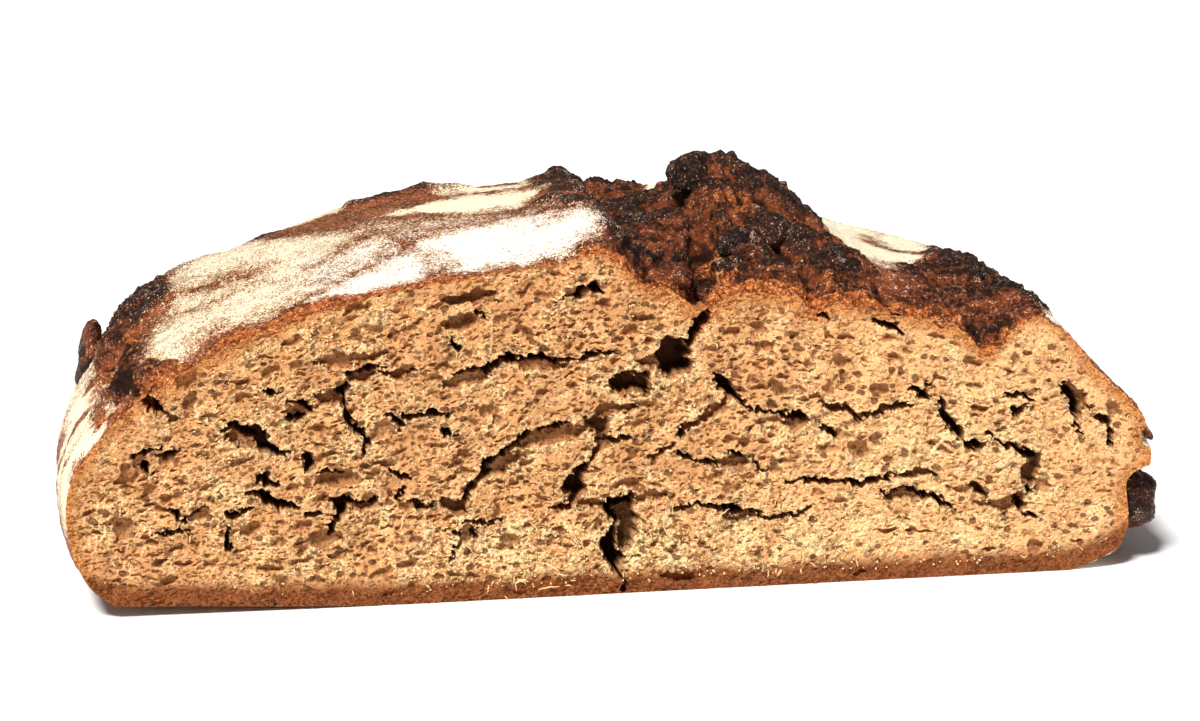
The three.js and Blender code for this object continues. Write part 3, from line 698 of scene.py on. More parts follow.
# Tears: the depth, then points along the cut, up from the table, and the width there.
TEARS = (
    # from the hollow at the left end down into the cut
    (6, ((-121.5, 57.5, 1.8), (-119, 55.5, 2.0), (-116.6, 53.3, 1.5), (-115, 52.3, 0.8))),
    (2, ((-114.6, 52.4, 0.6), (-112, 51.2, 1.2), (-110.4, 50.8, 0.6))),
    # under the burst, down the middle, and the base crack
    (9, ((22, 75, 1.4), (21.4, 71, 3.4), (19.4, 68.5, 3.2), (17.8, 65.5, 1.8))),
    (10, ((11.5, 65.5, 3.4), (13.5, 63, 7.6), (13.5, 60.5, 7.4), (17, 58.7, 3.4))),
    (3, ((4, 60.6, 1.6), (8, 60.8, 3.4), (11, 60.5, 4.4))),
    (7, ((-1.4, 54.6, 3.6), (1, 55.4, 5.6), (3.6, 55.6, 4.2))),
    (6, ((5.8, 57, 2.6), (6, 54, 3.0))),
    (2.6, ((-7, 47.6, 1.6), (-2, 49, 2.6), (3.6, 49, 1.8))),
    (5, ((-8.6, 46.4, 2.2), (-6, 45, 4.4), (-4.4, 43, 2.4))),
    (4, ((-5, 43.6, 3.4), (-5.4, 41, 2.6), (-5.6, 38.6, 2.0), (-7.4, 36.2, 1.8))),
    (5, ((-6, 40.6, 1.4), (-2, 40.4, 1.6), (2.4, 41.8, 1.0))),
    (8, ((-8.6, 34.6, 1.0), (-10.6, 32.6, 3.0), (-13.2, 30.6, 2.6))),
    (9, ((-12.4, 29.4, 5.0), (-11.8, 27.4, 3.6))),
    (5, ((-12.4, 25.6, 2.4), (-14, 23.4, 2.2), (-17.6, 23.4, 1.2))),
    (2.5, ((-11, 24, 1.6), (-5, 24.2, 2.0))),
    (13, ((-3, 24.2, 2.0), (0, 24.2, 3.4), (2.6, 24.4, 2.6))),
    (14, ((-2.6, 22.6, 2.4), (-1.4, 19.4, 1.4), (-2.2, 16.4, 2.0), (-2.6, 12.8, 4.2), (-1.8, 10, 4.0),
          (-1, 7.4, 2.6), (-0.2, 5, 1.5), (0.6, 3, 1.0), (1.2, 0.6, 1.2))),
    (5, ((1.2, 22, 5.6), (1.6, 19, 5.4), (1.8, 15.5, 4.4), (1.4, 12, 2.0))),
    (2.2, ((4, 24.4, 2.0), (8, 25.4, 2.4), (12.4, 25.8, 1.4))),
    # the long gaps of the left half, from the top down
    (8, ((-33.4, 60.8, 1.6), (-31, 62, 2.0), (-28, 63, 3.0), (-25.6, 62, 1.2), (-21, 62.5, 2.4),
         (-18, 61.9, 1.4), (-11, 62.4, 0.9), (-8.8, 63.3, 1.4), (-2, 63.2, 0.5))),
    (2.2, ((-26, 61, 1.2), (-22, 60.4, 2.4), (-15, 60.8, 1.4))),
    (7, ((-42, 59.6, 0.9), (-38.6, 60.6, 1.8), (-34, 60.2, 1.6))),
    (2.4, ((-45, 56.6, 1.6), (-40, 58, 3.4), (-35, 58.6, 2.8))),
    (7, ((-17, 77.3, 0.7), (-13, 78.5, 1.0), (-11, 79.2, 2.0), (-9, 80.5, 2.2), (-7.4, 80.6, 3.0),
         (-5, 79, 1.3))),
    (8, ((-43.2, 68, 1.1), (-42.4, 66.5, 0.9), (-41.2, 65.3, 1.6))),
    (5, ((-36.6, 74.8, 0.9), (-34, 74.2, 0.8))),
    (8, ((-68.6, 60.8, 1.2), (-65, 62, 2.0), (-60.6, 62.5, 1.0))),
    (3, ((-68, 59.6, 1.4), (-65.4, 59.4, 2.8), (-62, 60.6, 1.6))),
    (3, ((-60, 60.8, 1.2), (-56.6, 60, 2.0), (-52, 61.2, 1.2))),
    (2, ((-77, 63.6, 1.0), (-71, 64.4, 3.2), (-64, 64.6, 2.2), (-59, 66, 0.8))),
    (8, ((-72.4, 56.2, 1.4), (-70.6, 56.6, 2.4), (-69, 58, 1.4))),
    (3, ((-77, 54.8, 1.2), (-73.6, 54.6, 2.6), (-70.6, 53.8, 2.0))),
    (7, ((-70.2, 55, 1.4), (-69.9, 52, 1.3), (-69, 49.4, 1.7), (-66.6, 46, 1.3), (-65, 43.4, 1.8),
         (-64.8, 39.5, 0.8))),
    (8, ((-84, 54.4, 1.0), (-81.6, 53.6, 2.2), (-80, 52.2, 1.6), (-77.6, 51.2, 0.7))),
    (8, ((-84.2, 50.4, 1.3), (-82.2, 49.6, 1.9), (-79.6, 49.8, 0.9))),
    (2.4, ((-85.6, 52, 1.4), (-82, 51.8, 2.6), (-79, 50.8, 1.4))),
    (8, ((-90, 57.6, 1.2), (-88.4, 57, 2.0), (-86.6, 56.6, 1.0))),
    (9, ((-101, 48.2, 1.0), (-96, 48, 2.2), (-93, 47, 3.4), (-91, 44.8, 3.4), (-88.6, 42, 2.4),
         (-85, 41, 1.6))),
    (2.8, ((-100, 46, 1.8), (-96.4, 45.4, 3.6), (-93, 44.4, 3.0))),
    (9, ((-122.6, 60.6, 2.4), (-119.4, 57.4, 2.0), (-116.6, 54.4, 1.6), (-114.6, 52.4, 0.8))),
    (6, ((-59.6, 49.8, 1.0), (-58, 48.6, 1.6), (-55.8, 47.2, 1.8))),
    (8, ((-54.6, 49.4, 1.4), (-52, 48.8, 1.8), (-49.4, 49.5, 1.6), (-48, 49.8, 1.8), (-46.4, 48.8, 1.2),
         (-43.6, 49, 0.6))),
    (7, ((-46.2, 45.6, 0.8), (-44, 44.5, 1.4), (-42, 43.3, 0.8))),
    (9, ((-13.6, 44.8, 1.0), (-17, 45, 1.4), (-20, 44.4, 1.2), (-23, 43.4, 1.4), (-26, 42.2, 1.8),
         (-28, 40.6, 2.4), (-30, 38.8, 1.8), (-32.6, 36.8, 2.8), (-34.6, 35.2, 2.6))),
    (2.6, ((-28, 40.4, 1.6), (-24, 41.2, 3.0), (-18, 42.2, 4.4), (-12, 43.2, 3.4), (-9, 44, 1.6))),
    (3, ((-33, 34.6, 3.0), (-29.6, 36.6, 3.2), (-25.8, 38, 1.6))),
    (6, ((-34.6, 33.8, 3.0), (-37, 31.6, 1.8), (-38.8, 29.4, 2.4), (-40.2, 26.8, 2.6))),
    (4, ((-45, 26.6, 1.6), (-42, 25, 3.6), (-40, 25.2, 2.2))),
    (8, ((-39.2, 21.3, 1.1), (-36, 20.9, 0.8), (-33, 21, 1.0), (-30, 21.1, 0.8))),
    (5, ((-37.2, 19.2, 1.2), (-37, 16.4, 1.5))),
    (2.2, ((-38.8, 19, 2.6), (-39.6, 16.2, 3.0), (-42, 14.6, 1.6))),
    (5, ((-43.2, 18, 1.0), (-41, 17.8, 1.4))),
    (5, ((-43.4, 14.4, 1.2), (-43.6, 11, 1.0))),
    (8, ((-80.4, 39.6, 1.4), (-79, 38.6, 2.6), (-80.4, 36.4, 1.4))),
    (7, ((-77.6, 35.4, 0.8), (-74, 35.4, 1.0), (-70, 35, 0.8))),
    (6, ((-58.8, 35.6, 1.0), (-57, 34.6, 1.4), (-55.4, 33.5, 1.5), (-53.6, 33.3, 0.8))),
    (6, ((-54.8, 31, 0.8), (-55.6, 29.4, 1.0), (-55.8, 27.4, 1.5))),
    (5, ((-53.4, 27, 1.4), (-51.4, 25.7, 2.0), (-49, 25.5, 1.4), (-47.4, 26, 0.9))),
    (9, ((-73.8, 28, 1.4), (-70, 27.9, 1.6), (-66, 27.4, 1.2), (-62.2, 28, 1.6))),
    (10, ((-71.2, 27.4, 3.0), (-71.6, 25.4, 2.4), (-73, 23, 1.8), (-74.4, 21, 1.8), (-74.2, 19.6, 1.2))),
    (3, ((-68, 26.6, 2.2), (-64.4, 26.6, 2.6), (-62.4, 27.2, 1.4))),
    (8, ((-78.8, 25.2, 1.7), (-76, 25.3, 1.9))),
    (8, ((-92.4, 35, 1.4), (-90, 36.2, 1.5), (-89.6, 33.8, 1.9), (-87, 33, 1.3))),
    (9, ((-94, 30.8, 1.8), (-91.2, 31, 2.4), (-89.6, 29.2, 2.6), (-88, 28, 2.0), (-85, 27.4, 1.7),
         (-81.6, 26.4, 1.0))),
    (8, ((-100.4, 25.4, 1.8), (-98, 25.5, 2.0), (-96, 26, 1.4), (-94.2, 26.8, 1.2))),
    (7, ((-99.4, 22.2, 0.9), (-99.7, 19.4, 1.5), (-99.9, 17.2, 2.0), (-99.4, 15.8, 1.0))),
    (7, ((-113.6, 28.4, 1.2), (-112.6, 27, 1.6), (-111.8, 25.4, 1.1), (-110, 24.8, 1.0),
         (-108.6, 26.8, 1.1), (-106, 28.1, 1.2), (-104.8, 28, 0.9))),
    (4, ((-117, 21.9, 0.8), (-112, 22.3, 1.1), (-109, 22.6, 0.8))),
    (8, ((-122.4, 42.4, 1.0), (-119.4, 43, 1.4), (-116.6, 43.9, 0.9))),
    (8, ((-119.7, 39.6, 1.4), (-119.3, 37.2, 1.7))),
    (7, ((-116.8, 41.2, 1.2), (-114, 42, 2.2), (-111.2, 42.1, 1.2))),
    # and of the right half
    (6, ((65.4, 69, 1.4), (68, 68.2, 1.9), (71, 67, 2.3), (73.2, 65.4, 1.0))),
    (3, ((62, 73, 0.8), (66, 73.8, 1.6), (70, 73, 2.0), (72.4, 71, 1.2))),
    (5, ((50.4, 71.2, 0.9), (53.6, 69.3, 1.3))),
    (10, ((23.8, 56.8, 1.2), (25.4, 54.6, 2.6), (27, 53, 2.8), (28.8, 51.4, 1.8), (30.2, 49.8, 0.9))),
    (5, ((30.2, 49.6, 0.9), (32.6, 48, 1.4), (35.2, 46.7, 1.7))),
    (8, ((36.8, 46.3, 1.0), (40.4, 45.7, 1.0), (43, 45, 1.4), (46, 44.8, 2.4), (47.6, 43.4, 1.8))),
    (3, ((42.6, 43, 2.0), (45.4, 42.2, 3.8), (47.4, 42.2, 2.0))),
    (3, ((29, 50.6, 2.0), (25.6, 48.4, 2.4), (22.6, 46.4, 3.0), (19, 44.4, 1.8), (16.6, 42.8, 1.4))),
    (9, ((15.4, 42.8, 1.8), (15, 41, 2.4))),
    (4, ((13, 38.4, 1.4), (10.6, 37, 1.6), (7.6, 35.4, 0.8))),
    (7, ((14.6, 36.5, 1.0), (16.4, 35.3, 1.6), (19, 34.1, 0.8), (21.8, 34.3, 1.6), (24, 33.6, 0.8),
         (25, 32, 0.6))),
    (7, ((28.4, 36.6, 0.9), (30.2, 35.6, 1.9), (32, 34.4, 0.9))),
    (2.6, ((25, 33.4, 1.6), (28.6, 33.2, 3.4), (32.4, 33, 1.8))),
    (5, ((34.4, 33.2, 0.9), (36, 31.5, 0.9), (38.2, 31, 0.6))),
    (8, ((13, 21.5, 0.9), (16, 22, 1.1), (19, 23, 1.2), (22, 23, 1.2), (24.4, 22.2, 1.4), (26.6, 21, 2.0),
         (29.4, 20.7, 1.8), (33, 20, 1.5), (36.2, 19.7, 1.0))),
    (6, ((36, 18.8, 0.9), (38.8, 17.6, 1.8), (42, 18.6, 1.5), (45, 18.6, 1.4), (47.2, 19, 1.6),
         (49.4, 21.2, 0.7))),
    (2.2, ((27, 18.8, 1.6), (31, 18.4, 1.8), (35, 18.4, 1.4))),
    (8, ((43.4, 27, 0.9), (46, 27.8, 1.5), (50, 27.5, 1.3), (53, 27.8, 1.5), (56, 27.3, 1.2),
         (58.4, 28, 1.3), (60.6, 26.9, 2.0), (63.2, 26.4, 1.6), (65.6, 27, 2.4), (68.4, 27.3, 1.6),
         (71.4, 28.2, 0.7))),
    (3, ((74, 27.6, 1.2), (78, 28.4, 2.4), (82.4, 27.4, 1.2))),
    (8, ((67.4, 24, 0.7), (69.6, 23.2, 0.8), (73.6, 24, 0.8), (77, 23.3, 1.7), (80, 22.2, 1.5),
         (83, 21, 1.4), (84.6, 20, 1.9), (86.8, 18.6, 1.0))),
    (2.4, ((69.6, 22.6, 1.2), (73.4, 22.4, 2.4), (77, 21.8, 1.6))),
    (6, ((51.4, 41.4, 1.0), (54, 40.6, 1.6), (55.6, 38.3, 1.3))),
    (5, ((51, 48.4, 0.8), (53.2, 47.3, 0.8))),
    (4, ((54.2, 46.4, 1.8), (58.4, 46.6, 1.4), (60, 45, 1.4), (61, 42.8, 1.2))),
    (4, ((62, 44.5, 1.0), (66, 44.4, 1.5), (68.6, 46.4, 1.8), (73, 46, 1.7), (76.4, 46.8, 0.6))),
    (8, ((75.4, 50.4, 1.4), (78, 49.8, 2.2), (80.2, 47.9, 1.0))),
    (5, ((79.4, 52.6, 0.7), (78.2, 50.6, 0.9))),
    (10, ((82.7, 48.2, 0.8), (83.4, 45.4, 1.7), (84.6, 42.8, 2.4), (86.4, 40.2, 2.4), (89, 38, 2.4))),
    (7, ((90.2, 35.6, 1.9), (93, 34.8, 2.2), (95.4, 34.6, 1.0))),
    (6, ((96, 37.7, 1.3), (97.6, 36.4, 1.2), (99.4, 35, 0.7))),
    (10, ((100.4, 34.8, 1.4), (103, 34.6, 1.2), (104.2, 33, 2.2), (107, 32, 3.2), (108.8, 31, 2.2))),
    (4, ((108.6, 29.4, 3.0), (108, 27, 4.2), (107.6, 24.6, 2.8))),
    (8, ((107.4, 23.2, 1.5), (107.6, 21.6, 1.4))),
    (8, ((103.8, 19.5, 1.7), (105.4, 17.8, 1.9))),
    (6, ((106.4, 16, 1.2), (109, 14.6, 1.4))),
    (2.6, ((97, 19.6, 1.6), (101, 18, 4.2), (104.6, 20.6, 2.8))),
    (5, ((91.4, 24, 1.5), (94.4, 22.8, 1.8), (96.2, 21.8, 1.2))),
    (6, ((101, 48.1, 1.2), (104.6, 47.3, 1.9), (107.2, 45.5, 0.9))),
    (6, ((103, 43.2, 2.0), (105, 43.4, 1.2), (106.4, 45.4, 0.7))),
    (10, ((114.6, 51.2, 1.2), (116.4, 48.6, 2.4), (117.8, 45.8, 2.0), (119.4, 42.8, 3.4))),
    (8, ((118.2, 41.6, 1.3), (119.8, 38.8, 1.5), (121.2, 36.2, 0.9))),
    (2.6, ((116.8, 50.4, 1.2), (120, 46.6, 2.4), (123, 43.6, 1.2))),
    (5, ((124.6, 41.6, 1.4), (126.6, 40.2, 2.4), (128, 38, 1.4))),
    (8, ((128.2, 36.4, 1.5), (128.5, 33.8, 1.6))),
)
# Single bubbles: the middle along the cut and up, half the width and half the height.
BUBBLES = (
    (-125.8, 23, 2.7, 3), (-124.6, 38.4, 1.5, 2.2), (-120.8, 40.2, 1.8, 2.8), (-113.8, 41.2, 3.2, 1.6),
    (-119.6, 33, 1.9, 1.3), (-107, 26.4, 2.8, 1.9), (-122, 18.3, 1.4, 0.9), (-129, 17.5, 0.7, 1),
    (-133.7, 27, 0.9, 1), (-114.5, 9.8, 2.8, 1.5), (-93.7, 21.6, 2.9, 1.8), (-86.5, 23.3, 1.3, 1),
    (-86.7, 18.2, 2, 0.8), (-88.8, 11, 3.8, 0.9), (-98.3, 12.2, 1.5, 0.6), (-96, 39.3, 2.6, 1.2),
    (-105.5, 32.8, 1.9, 1), (-114.5, 17, 1.3, 1.2), (-108.6, 61, 2.7, 2), (-108.6, 55, 1.7, 2.6),
    (-95.3, 55.7, 1.7, 1.2), (-96, 59.8, 2, 0.8), (-88, 62, 2.2, 1.5), (-91.5, 65.3, 1, 0.8),
    (-82, 63.6, 1.8, 1.3), (-72.5, 33.9, 5.6, 2.1), (-67.8, 33.4, 2.2, 1.2), (-83.5, 32, 2.1, 1.5),
    (-75.5, 18.1, 3.7, 2), (-81, 22.2, 2.3, 1.1), (-81.5, 13, 2.8, 0.8), (-58.6, 42, 1.4, 0.9),
    (-63.4, 35.2, 2, 0.8), (-46, 41.3, 1.9, 1), (-55, 10.8, 3, 1.2), (-53, 17, 2, 1.2),
    (-51.5, 13.3, 1.5, 1), (-62.5, 8.3, 1.8, 0.9), (-77, 7.5, 2.2, 0.9), (-86, 8.2, 1.6, 1),
    (-52.5, 22.5, 2.3, 0.8), (-32, 22.8, 1.8, 0.8), (-28, 15.6, 3, 1.5), (-59.5, 2.8, 1.5, 0.8),
    (-66.5, 77.5, 3.2, 1.2), (-67.2, 74.5, 1.8, 0.9), (-56.8, 76.7, 1.8, 0.7), (-60.5, 80.4, 1, 0.6),
    (-53.5, 81.2, 1, 0.6), (-38.6, 79, 7, 1.6), (-47, 76.5, 2.2, 0.9), (-41, 73, 5.4, 1.8),
    (-61.5, 72, 2, 1.2), (-58.3, 71, 0.9, 0.9), (-54.5, 71.2, 1.7, 0.9), (-67.5, 71, 1.5, 0.8),
    (-83, 69.6, 2.6, 1), (-76, 47.5, 2.4, 1.1), (-61.5, 45.3, 1, 0.7), (-47.3, 58.5, 1.4, 1.2),
    (-48, 54.8, 1.2, 0.7), (-34, 49.7, 2.4, 1.4), (-28.5, 54, 1, 1.3), (-27, 53.7, 1, 1),
    (-11.3, 85.4, 1.5, 0.7), (-16, 83.9, 1.6, 0.8), (-28.5, 85, 1.3, 0.8), (-27, 75.2, 1.5, 0.6),
    (-12, 74.5, 1.9, 0.7), (-25, 69.5, 2.3, 1.1), (-13.3, 54.7, 1, 1.1), (-7, 56.7, 1.7, 1),
    (-12, 48.7, 1, 0.6), (-22.3, 26.7, 1.3, 0.7), (-21.3, 24, 1.7, 0.7), (-4.5, 28.6, 1.1, 0.7),
    (-19, 4.3, 1.6, 0.9), (-26, 1.8, 1, 0.8), (4, 37.4, 1.4, 1.2), (8.5, 50.3, 1.7, 1),
    (15.5, 50.5, 1.2, 1.1),
    (4.5, 44.3, 2.4, 0.9), (10, 71.3, 0.9, 1.3), (3.5, 69, 1.6, 0.7), (15.4, 3.6, 4.6, 1.3),
    (35.5, 68.4, 2.9, 1.2), (37.5, 63.4, 2.4, 1.5), (45.8, 62.2, 1.6, 0.7), (48.7, 58.2, 1.5, 1.3),
    (56.5, 58, 2.4, 2), (57.8, 54.5, 1.4, 1.3), (53.8, 52, 1.6, 1.6), (41, 52.6, 2.1, 2.1),
    (44.5, 51, 1.1, 0.8), (33, 55, 1.1, 1.4), (36, 58.5, 1.1, 1.1), (38.6, 58.6, 0.9, 0.9),
    (69.8, 55, 1.3, 1.6), (67, 51, 2.5, 1.7), (69.3, 58.2, 1.3, 1), (62, 35, 2.7, 2.4),
    (66.4, 38, 1.9, 1.7), (56.2, 39, 1.7, 1.7), (43.5, 33, 1.2, 1.5), (32.7, 40, 1.1, 0.9),
    (38, 35.8, 1.2, 0.9), (33.8, 29, 1.3, 0.8), (27, 26.6, 1, 1.8), (52, 24.2, 1.5, 0.8),
    (57.5, 22, 1.9, 1), (69.5, 12.9, 3, 0.8), (78, 13, 3.2, 0.6), (74, 15.8, 2, 0.6),
    (62.5, 2.6, 2.2, 0.9),
    (91.5, 57, 2.7, 1), (103, 57.8, 1.1, 1.7), (82, 64.6, 2.5, 0.8), (87.5, 61.5, 1.4, 0.7),
    (82, 67.8, 1.9, 0.7), (82.6, 53.6, 2.4, 0.8), (129, 42.4, 1.9, 2.7), (120, 11.7, 1.7, 1),
    (124.5, 11.8, 1, 0.6), (120.5, 7.9, 1.7, 0.7), (108.8, 6.4, 2.2, 0.8), (102, 6.7, 0.9, 0.6),
    (89.5, 23.5, 2.5, 1.2), (111, 23, 2, 2), (87.6, 29.7, 1.2, 0.7), (120, 28.3, 1, 0.6),
)


def crumb_bubbles(x, z, width, height, filled, largest, seed):
    """Random bubbles in a lattice of cells: each filled cell holds an ellipse at a random place, of a
    random size and tilt; the depth is size * height * sqrt(1 - r^2), with r from 0 in its middle to
    1 at its edge."""
    column, row = np.floor(x / width), np.floor(z / height)
    deepest = np.zeros(x.shape)
    for i in (-1, 0, 1):
        for j in (-1, 0, 1):
            keys = [column + i, row + j]
            size = 0.16 + (largest - 0.16) * chance(keys, seed + 1) ** 1.5
            tilt = 0.9 * (chance(keys, seed + 2) - 0.5)
            along = x - (keys[0] + chance(keys, seed + 3)) * width
            up = z - (keys[1] + chance(keys, seed + 4)) * height
            across = (along * np.cos(tilt) + up * np.sin(tilt)) / (size * width)
            over = (up * np.cos(tilt) - along * np.sin(tilt)) / (size * height * 0.85)
            hole = size * height * np.sqrt(np.clip(1.0 - across ** 2 - over ** 2, 0.0, 1.0))
            deepest = np.maximum(deepest, np.where(chance(keys, seed) < filled, hole, 0.0))
    return deepest


def tear_depth(x, z):
    """Depth of the tears: each goes down by a smooth step from its edge, half its width from its
    line, to its full depth halfway in. Also a bell for the low lip that stands up round it."""
    deepest, lip = np.zeros(x.shape), np.zeros(x.shape)
    for depth, line in TEARS:
        line = np.array(line, dtype=float)
        close = ((x > line[:, 0].min() - 4) & (x < line[:, 0].max() + 4)
                 & (z > line[:, 1].min() - 4) & (z < line[:, 1].max() + 4))
        near_x, near_z = x[close], z[close]
        inside = np.full(near_x.shape, -9.0)
        for (ax, az, first), (bx, bz, last) in zip(line[:-1], line[1:]):
            step = (bx - ax) ** 2 + (bz - az) ** 2
            t = np.clip(((near_x - ax) * (bx - ax) + (near_z - az) * (bz - az)) / step, 0.0, 1.0)
            gap = np.hypot(near_x - ax - t * (bx - ax), near_z - az - t * (bz - az))
            inside = np.maximum(inside, 1.0 - gap / (0.5 * TEAR_SPREAD * (first + t * (last - first))))
        deepest[close] = np.maximum(deepest[close], depth * ramp(inside, 0.0, 0.5))
        lip[close] = np.maximum(lip[close], bell(inside, -0.3, 0.35))
    return deepest, lip * (deepest < 0.3)


def crumb_relief(x, z, rim):
    """How far the cut crumb lies behind the knife's plane, from the distance to the crust (rim):
    slow waves, bubbles of many sizes, the sponge between them, tears, and ragged edges. Also how
    shaggy the knife left it, from 0 to 1, and the lips of the tears."""
    spot = np.stack((x, z), axis=-1)
    bent_x = x + 0.8 * hills(spot, 3.1, 201) + 0.55 * hills(spot, 1.2, 202)
    bent_z = z + 0.7 * hills(spot, 2.8, 203) + 0.5 * hills(spot, 1.1, 204)
    layer = bent_z * (1.0 + (x / DOME_LAYERS) ** 2)
    fine_x = x + 0.35 * hills(spot, 1.3, 207)
    fine_layer = 1.2 * layer + 0.3 * hills(spot, 1.2, 208)
    # The crumb is tighter towards the crust and to the right, and airier in some places than others.
    loose = ramp(rim, 1.5, 9.0)
    open_crumb = (0.55 + 0.45 * ramp(rim, 3.0, 16.0)) * (1.0 - 0.3 * ramp(x, 30.0, 80.0))
    airy = 0.3 + 0.7 * ramp(hills(spot, 17.0, 209), -0.5, 0.3)
    shaggy = np.clip(bell(x, 25, 75.0) * bell(z, 13, 11.0) + bell(x, 86, 26.0) * bell(z, 34, 19.0)
                     + 0.25 + 0.5 * hills(spot, 13.0, 212), 0.0, 1.0)
    waves = -CRUMB_WAVES * (np.sin(0.19 * x + 0.11 * z) * np.sin(0.23 * z + 1.3)
                            + 0.6 * np.sin(0.41 * x - 0.17 * z + 2.0))
    wide = crumb_bubbles(bent_x, layer, 12.0, 6.0, 0.22, 0.3, 211) * loose * airy
    middling = crumb_bubbles(bent_x, layer, 6.0, 4.0, 0.4, 0.36, 221) * (0.35 + 0.65 * loose) * airy
    small = crumb_bubbles(bent_x, layer, 3.2, 2.1, 0.62, 0.42, 231) * airy
    finest = crumb_bubbles(fine_x, fine_layer, 2.1, 1.3, 0.7, 0.4, 251)
    sponge, _ = lumps(np.stack((fine_x, fine_layer), axis=-1), 1.45, 241)
    single = np.zeros(x.shape)
    for middle, up, half_width, half_height in BUBBLES:
        slope = -2.0 * up * middle / DOME_LAYERS ** 2
        rise = bent_z - up - slope * (bent_x - middle)
        r = ((bent_x - middle) / half_width) ** 2 + (rise / half_height) ** 2
        bowl = 0.42 * (half_width + half_height) * np.sqrt(np.clip(1.0 - r, 0.0, 1.0)) ** 0.7
        single = np.maximum(single, bowl)
    torn, lip = tear_depth(bent_x + 0.4 * rough_hills(spot, 1.1, 206, 3, 0.8),
                           bent_z + 0.4 * rough_hills(spot, 1.1, 216, 3, 0.8))
    holes = np.maximum(np.maximum(1.3 * wide, 1.4 * middling), np.maximum(single, torn))
    holes = np.maximum(holes, open_crumb * np.maximum(1.6 * small, 1.8 * finest))
    tatter = (0.06 + 0.22 * shaggy) * rough_hills(spot, 1.5, 261, 3, 0.7)
    sunk = holes + (0.04 + 0.12 * shaggy) * (sponge - 0.6) + tatter - 0.25 * lip
    return waves * ramp(rim, 0.0, 4.0) + sunk, sunk, shaggy, lip


def four_sided(bottom, top, left, right):
    """A surface through four edges: the blend of bottom and top, plus that of left and right, less
    the blend of the four corners."""
    across = np.linspace(0.0, 1.0, len(bottom))[None, :, None]
    up = np.linspace(0.0, 1.0, len(left))[:, None, None]
    ruled = (1 - up) * bottom[None] + up * top[None] + (1 - across) * left[:, None] + across * right[:, None]
    corners = ((1 - across) * (1 - up) * bottom[0] + across * (1 - up) * bottom[-1]
               + (1 - across) * up * top[0] + across * up * top[-1])
    return ruled - corners


def eased(values, reach):
    """Values along a line, averaged with their neighbours under a bell of the given reach."""
    weights = bell(np.arange(-3 * reach, 3 * reach + 1), 0, reach)
    padded = np.pad(values, 3 * reach, mode="reflect", reflect_type="odd")
    return np.convolve(padded, weights / weights.sum(), mode="valid")


# The face is spread below an eased arch, and then raised or lowered in columns to the true one. The
# arch has the crust's points at the cut and the points halfway between them.
EASE = 61
RIM_STEP = 12                     # every how many points of the arch the outlines below take
arch_line = np.empty((2 * CRUST_COLUMNS + 1, 3))
arch_line[::2] = crust_points[0]
arch_line[1::2] = 0.5 * (crust_points[0, :-1] + crust_points[0, 1:])
eased_arch = arch_line.copy()
eased_arch[:, 2] += (eased(arch_line[:, 2], EASE) - arch_line[:, 2]) * ramp(arch_line[:, 2], 46.0, 58.0)
upper = slice(CRUMB_ROWS // 2, len(arch_line) - CRUMB_ROWS // 2)
foot = np.zeros((CRUMB_COLUMNS + 1, 3))
foot[:, 0] = np.linspace(arch_line[0, 0], arch_line[-1, 0], CRUMB_COLUMNS + 1)
left_gap = arch_line[0, 2] - base_height(arch_line[0, 0])
foot[:, 2] = base_height(foot[:, 0]) + np.linspace(left_gap, 0.0, CRUMB_COLUMNS + 1)
face = four_sided(foot, eased_arch[CRUMB_ROWS:len(arch_line) - CRUMB_ROWS],
                  eased_arch[:CRUMB_ROWS + 1], eased_arch[::-1][:CRUMB_ROWS + 1])
face[..., 2] *= np.interp(face[..., 0], eased_arch[upper, 0], arch_line[upper, 2] / eased_arch[upper, 2])
face_x, face_z = face[..., 0], face[..., 2]
rim = np.concatenate((arch_line[::RIM_STEP], foot[::-1][::RIM_STEP]))
rim_distance = np.maximum(inside_outline(face_x, face_z, rim[:, (0, 2)]), 0.0)
# The distance to the crust alone: this outline is closed far below the table.
crust_rim = np.concatenate((arch_line[::RIM_STEP], ((150.0, 0.0, -60.0), (-150.0, 0.0, -60.0))))
crust_distance = np.maximum(inside_outline(face_x, face_z, crust_rim[:, (0, 2)]), 0.0)
face_depth, sunk, shaggy, lip = crumb_relief(face_x, face_z, rim_distance)
to_rim = np.linspace(0.0, 1.0, CRUMB_ROWS + 1)[:, None]
to_side = np.abs(np.linspace(-1.0, 1.0, CRUMB_COLUMNS + 1))[None, :]
inner = ramp(np.minimum(1.0 - to_rim, 1.0 - to_side), 0.0, 0.006)
face_points = face.copy()
face_points[..., 1] += face_depth * inner


# The crumb's colours; of a pair, the second shows where the grain stands out.
TAN = shade(219, 156, 99), shade(247, 185, 125)
BRAN = shade(170, 108, 64)
# Pale cream grains: partly the crumb's paler bits, partly painted highlights on its walls.
PALE_GRAINS_AND_GLINTS = shade(255, 226, 166)
# Painted shade for the small pits and pores, which the bump alone shapes.
FINE_PIT_SHADE = shade(126, 72, 36)
PORE_SHADE = shade(112, 64, 30)
# Painted highlight for the lips of the tears.
LIP_HIGHLIGHT = shade(255, 236, 184)
# Painted shade for the insides of the bubbles and the tears.
BUBBLE_SHADE = shade(150, 92, 50)
TEAR_SHADE = shade(74, 41, 20)
BAKED = shade(140, 72, 30), shade(240, 160, 88)
BAKED_FOOT = shade(88, 39, 13), shade(168, 90, 38)


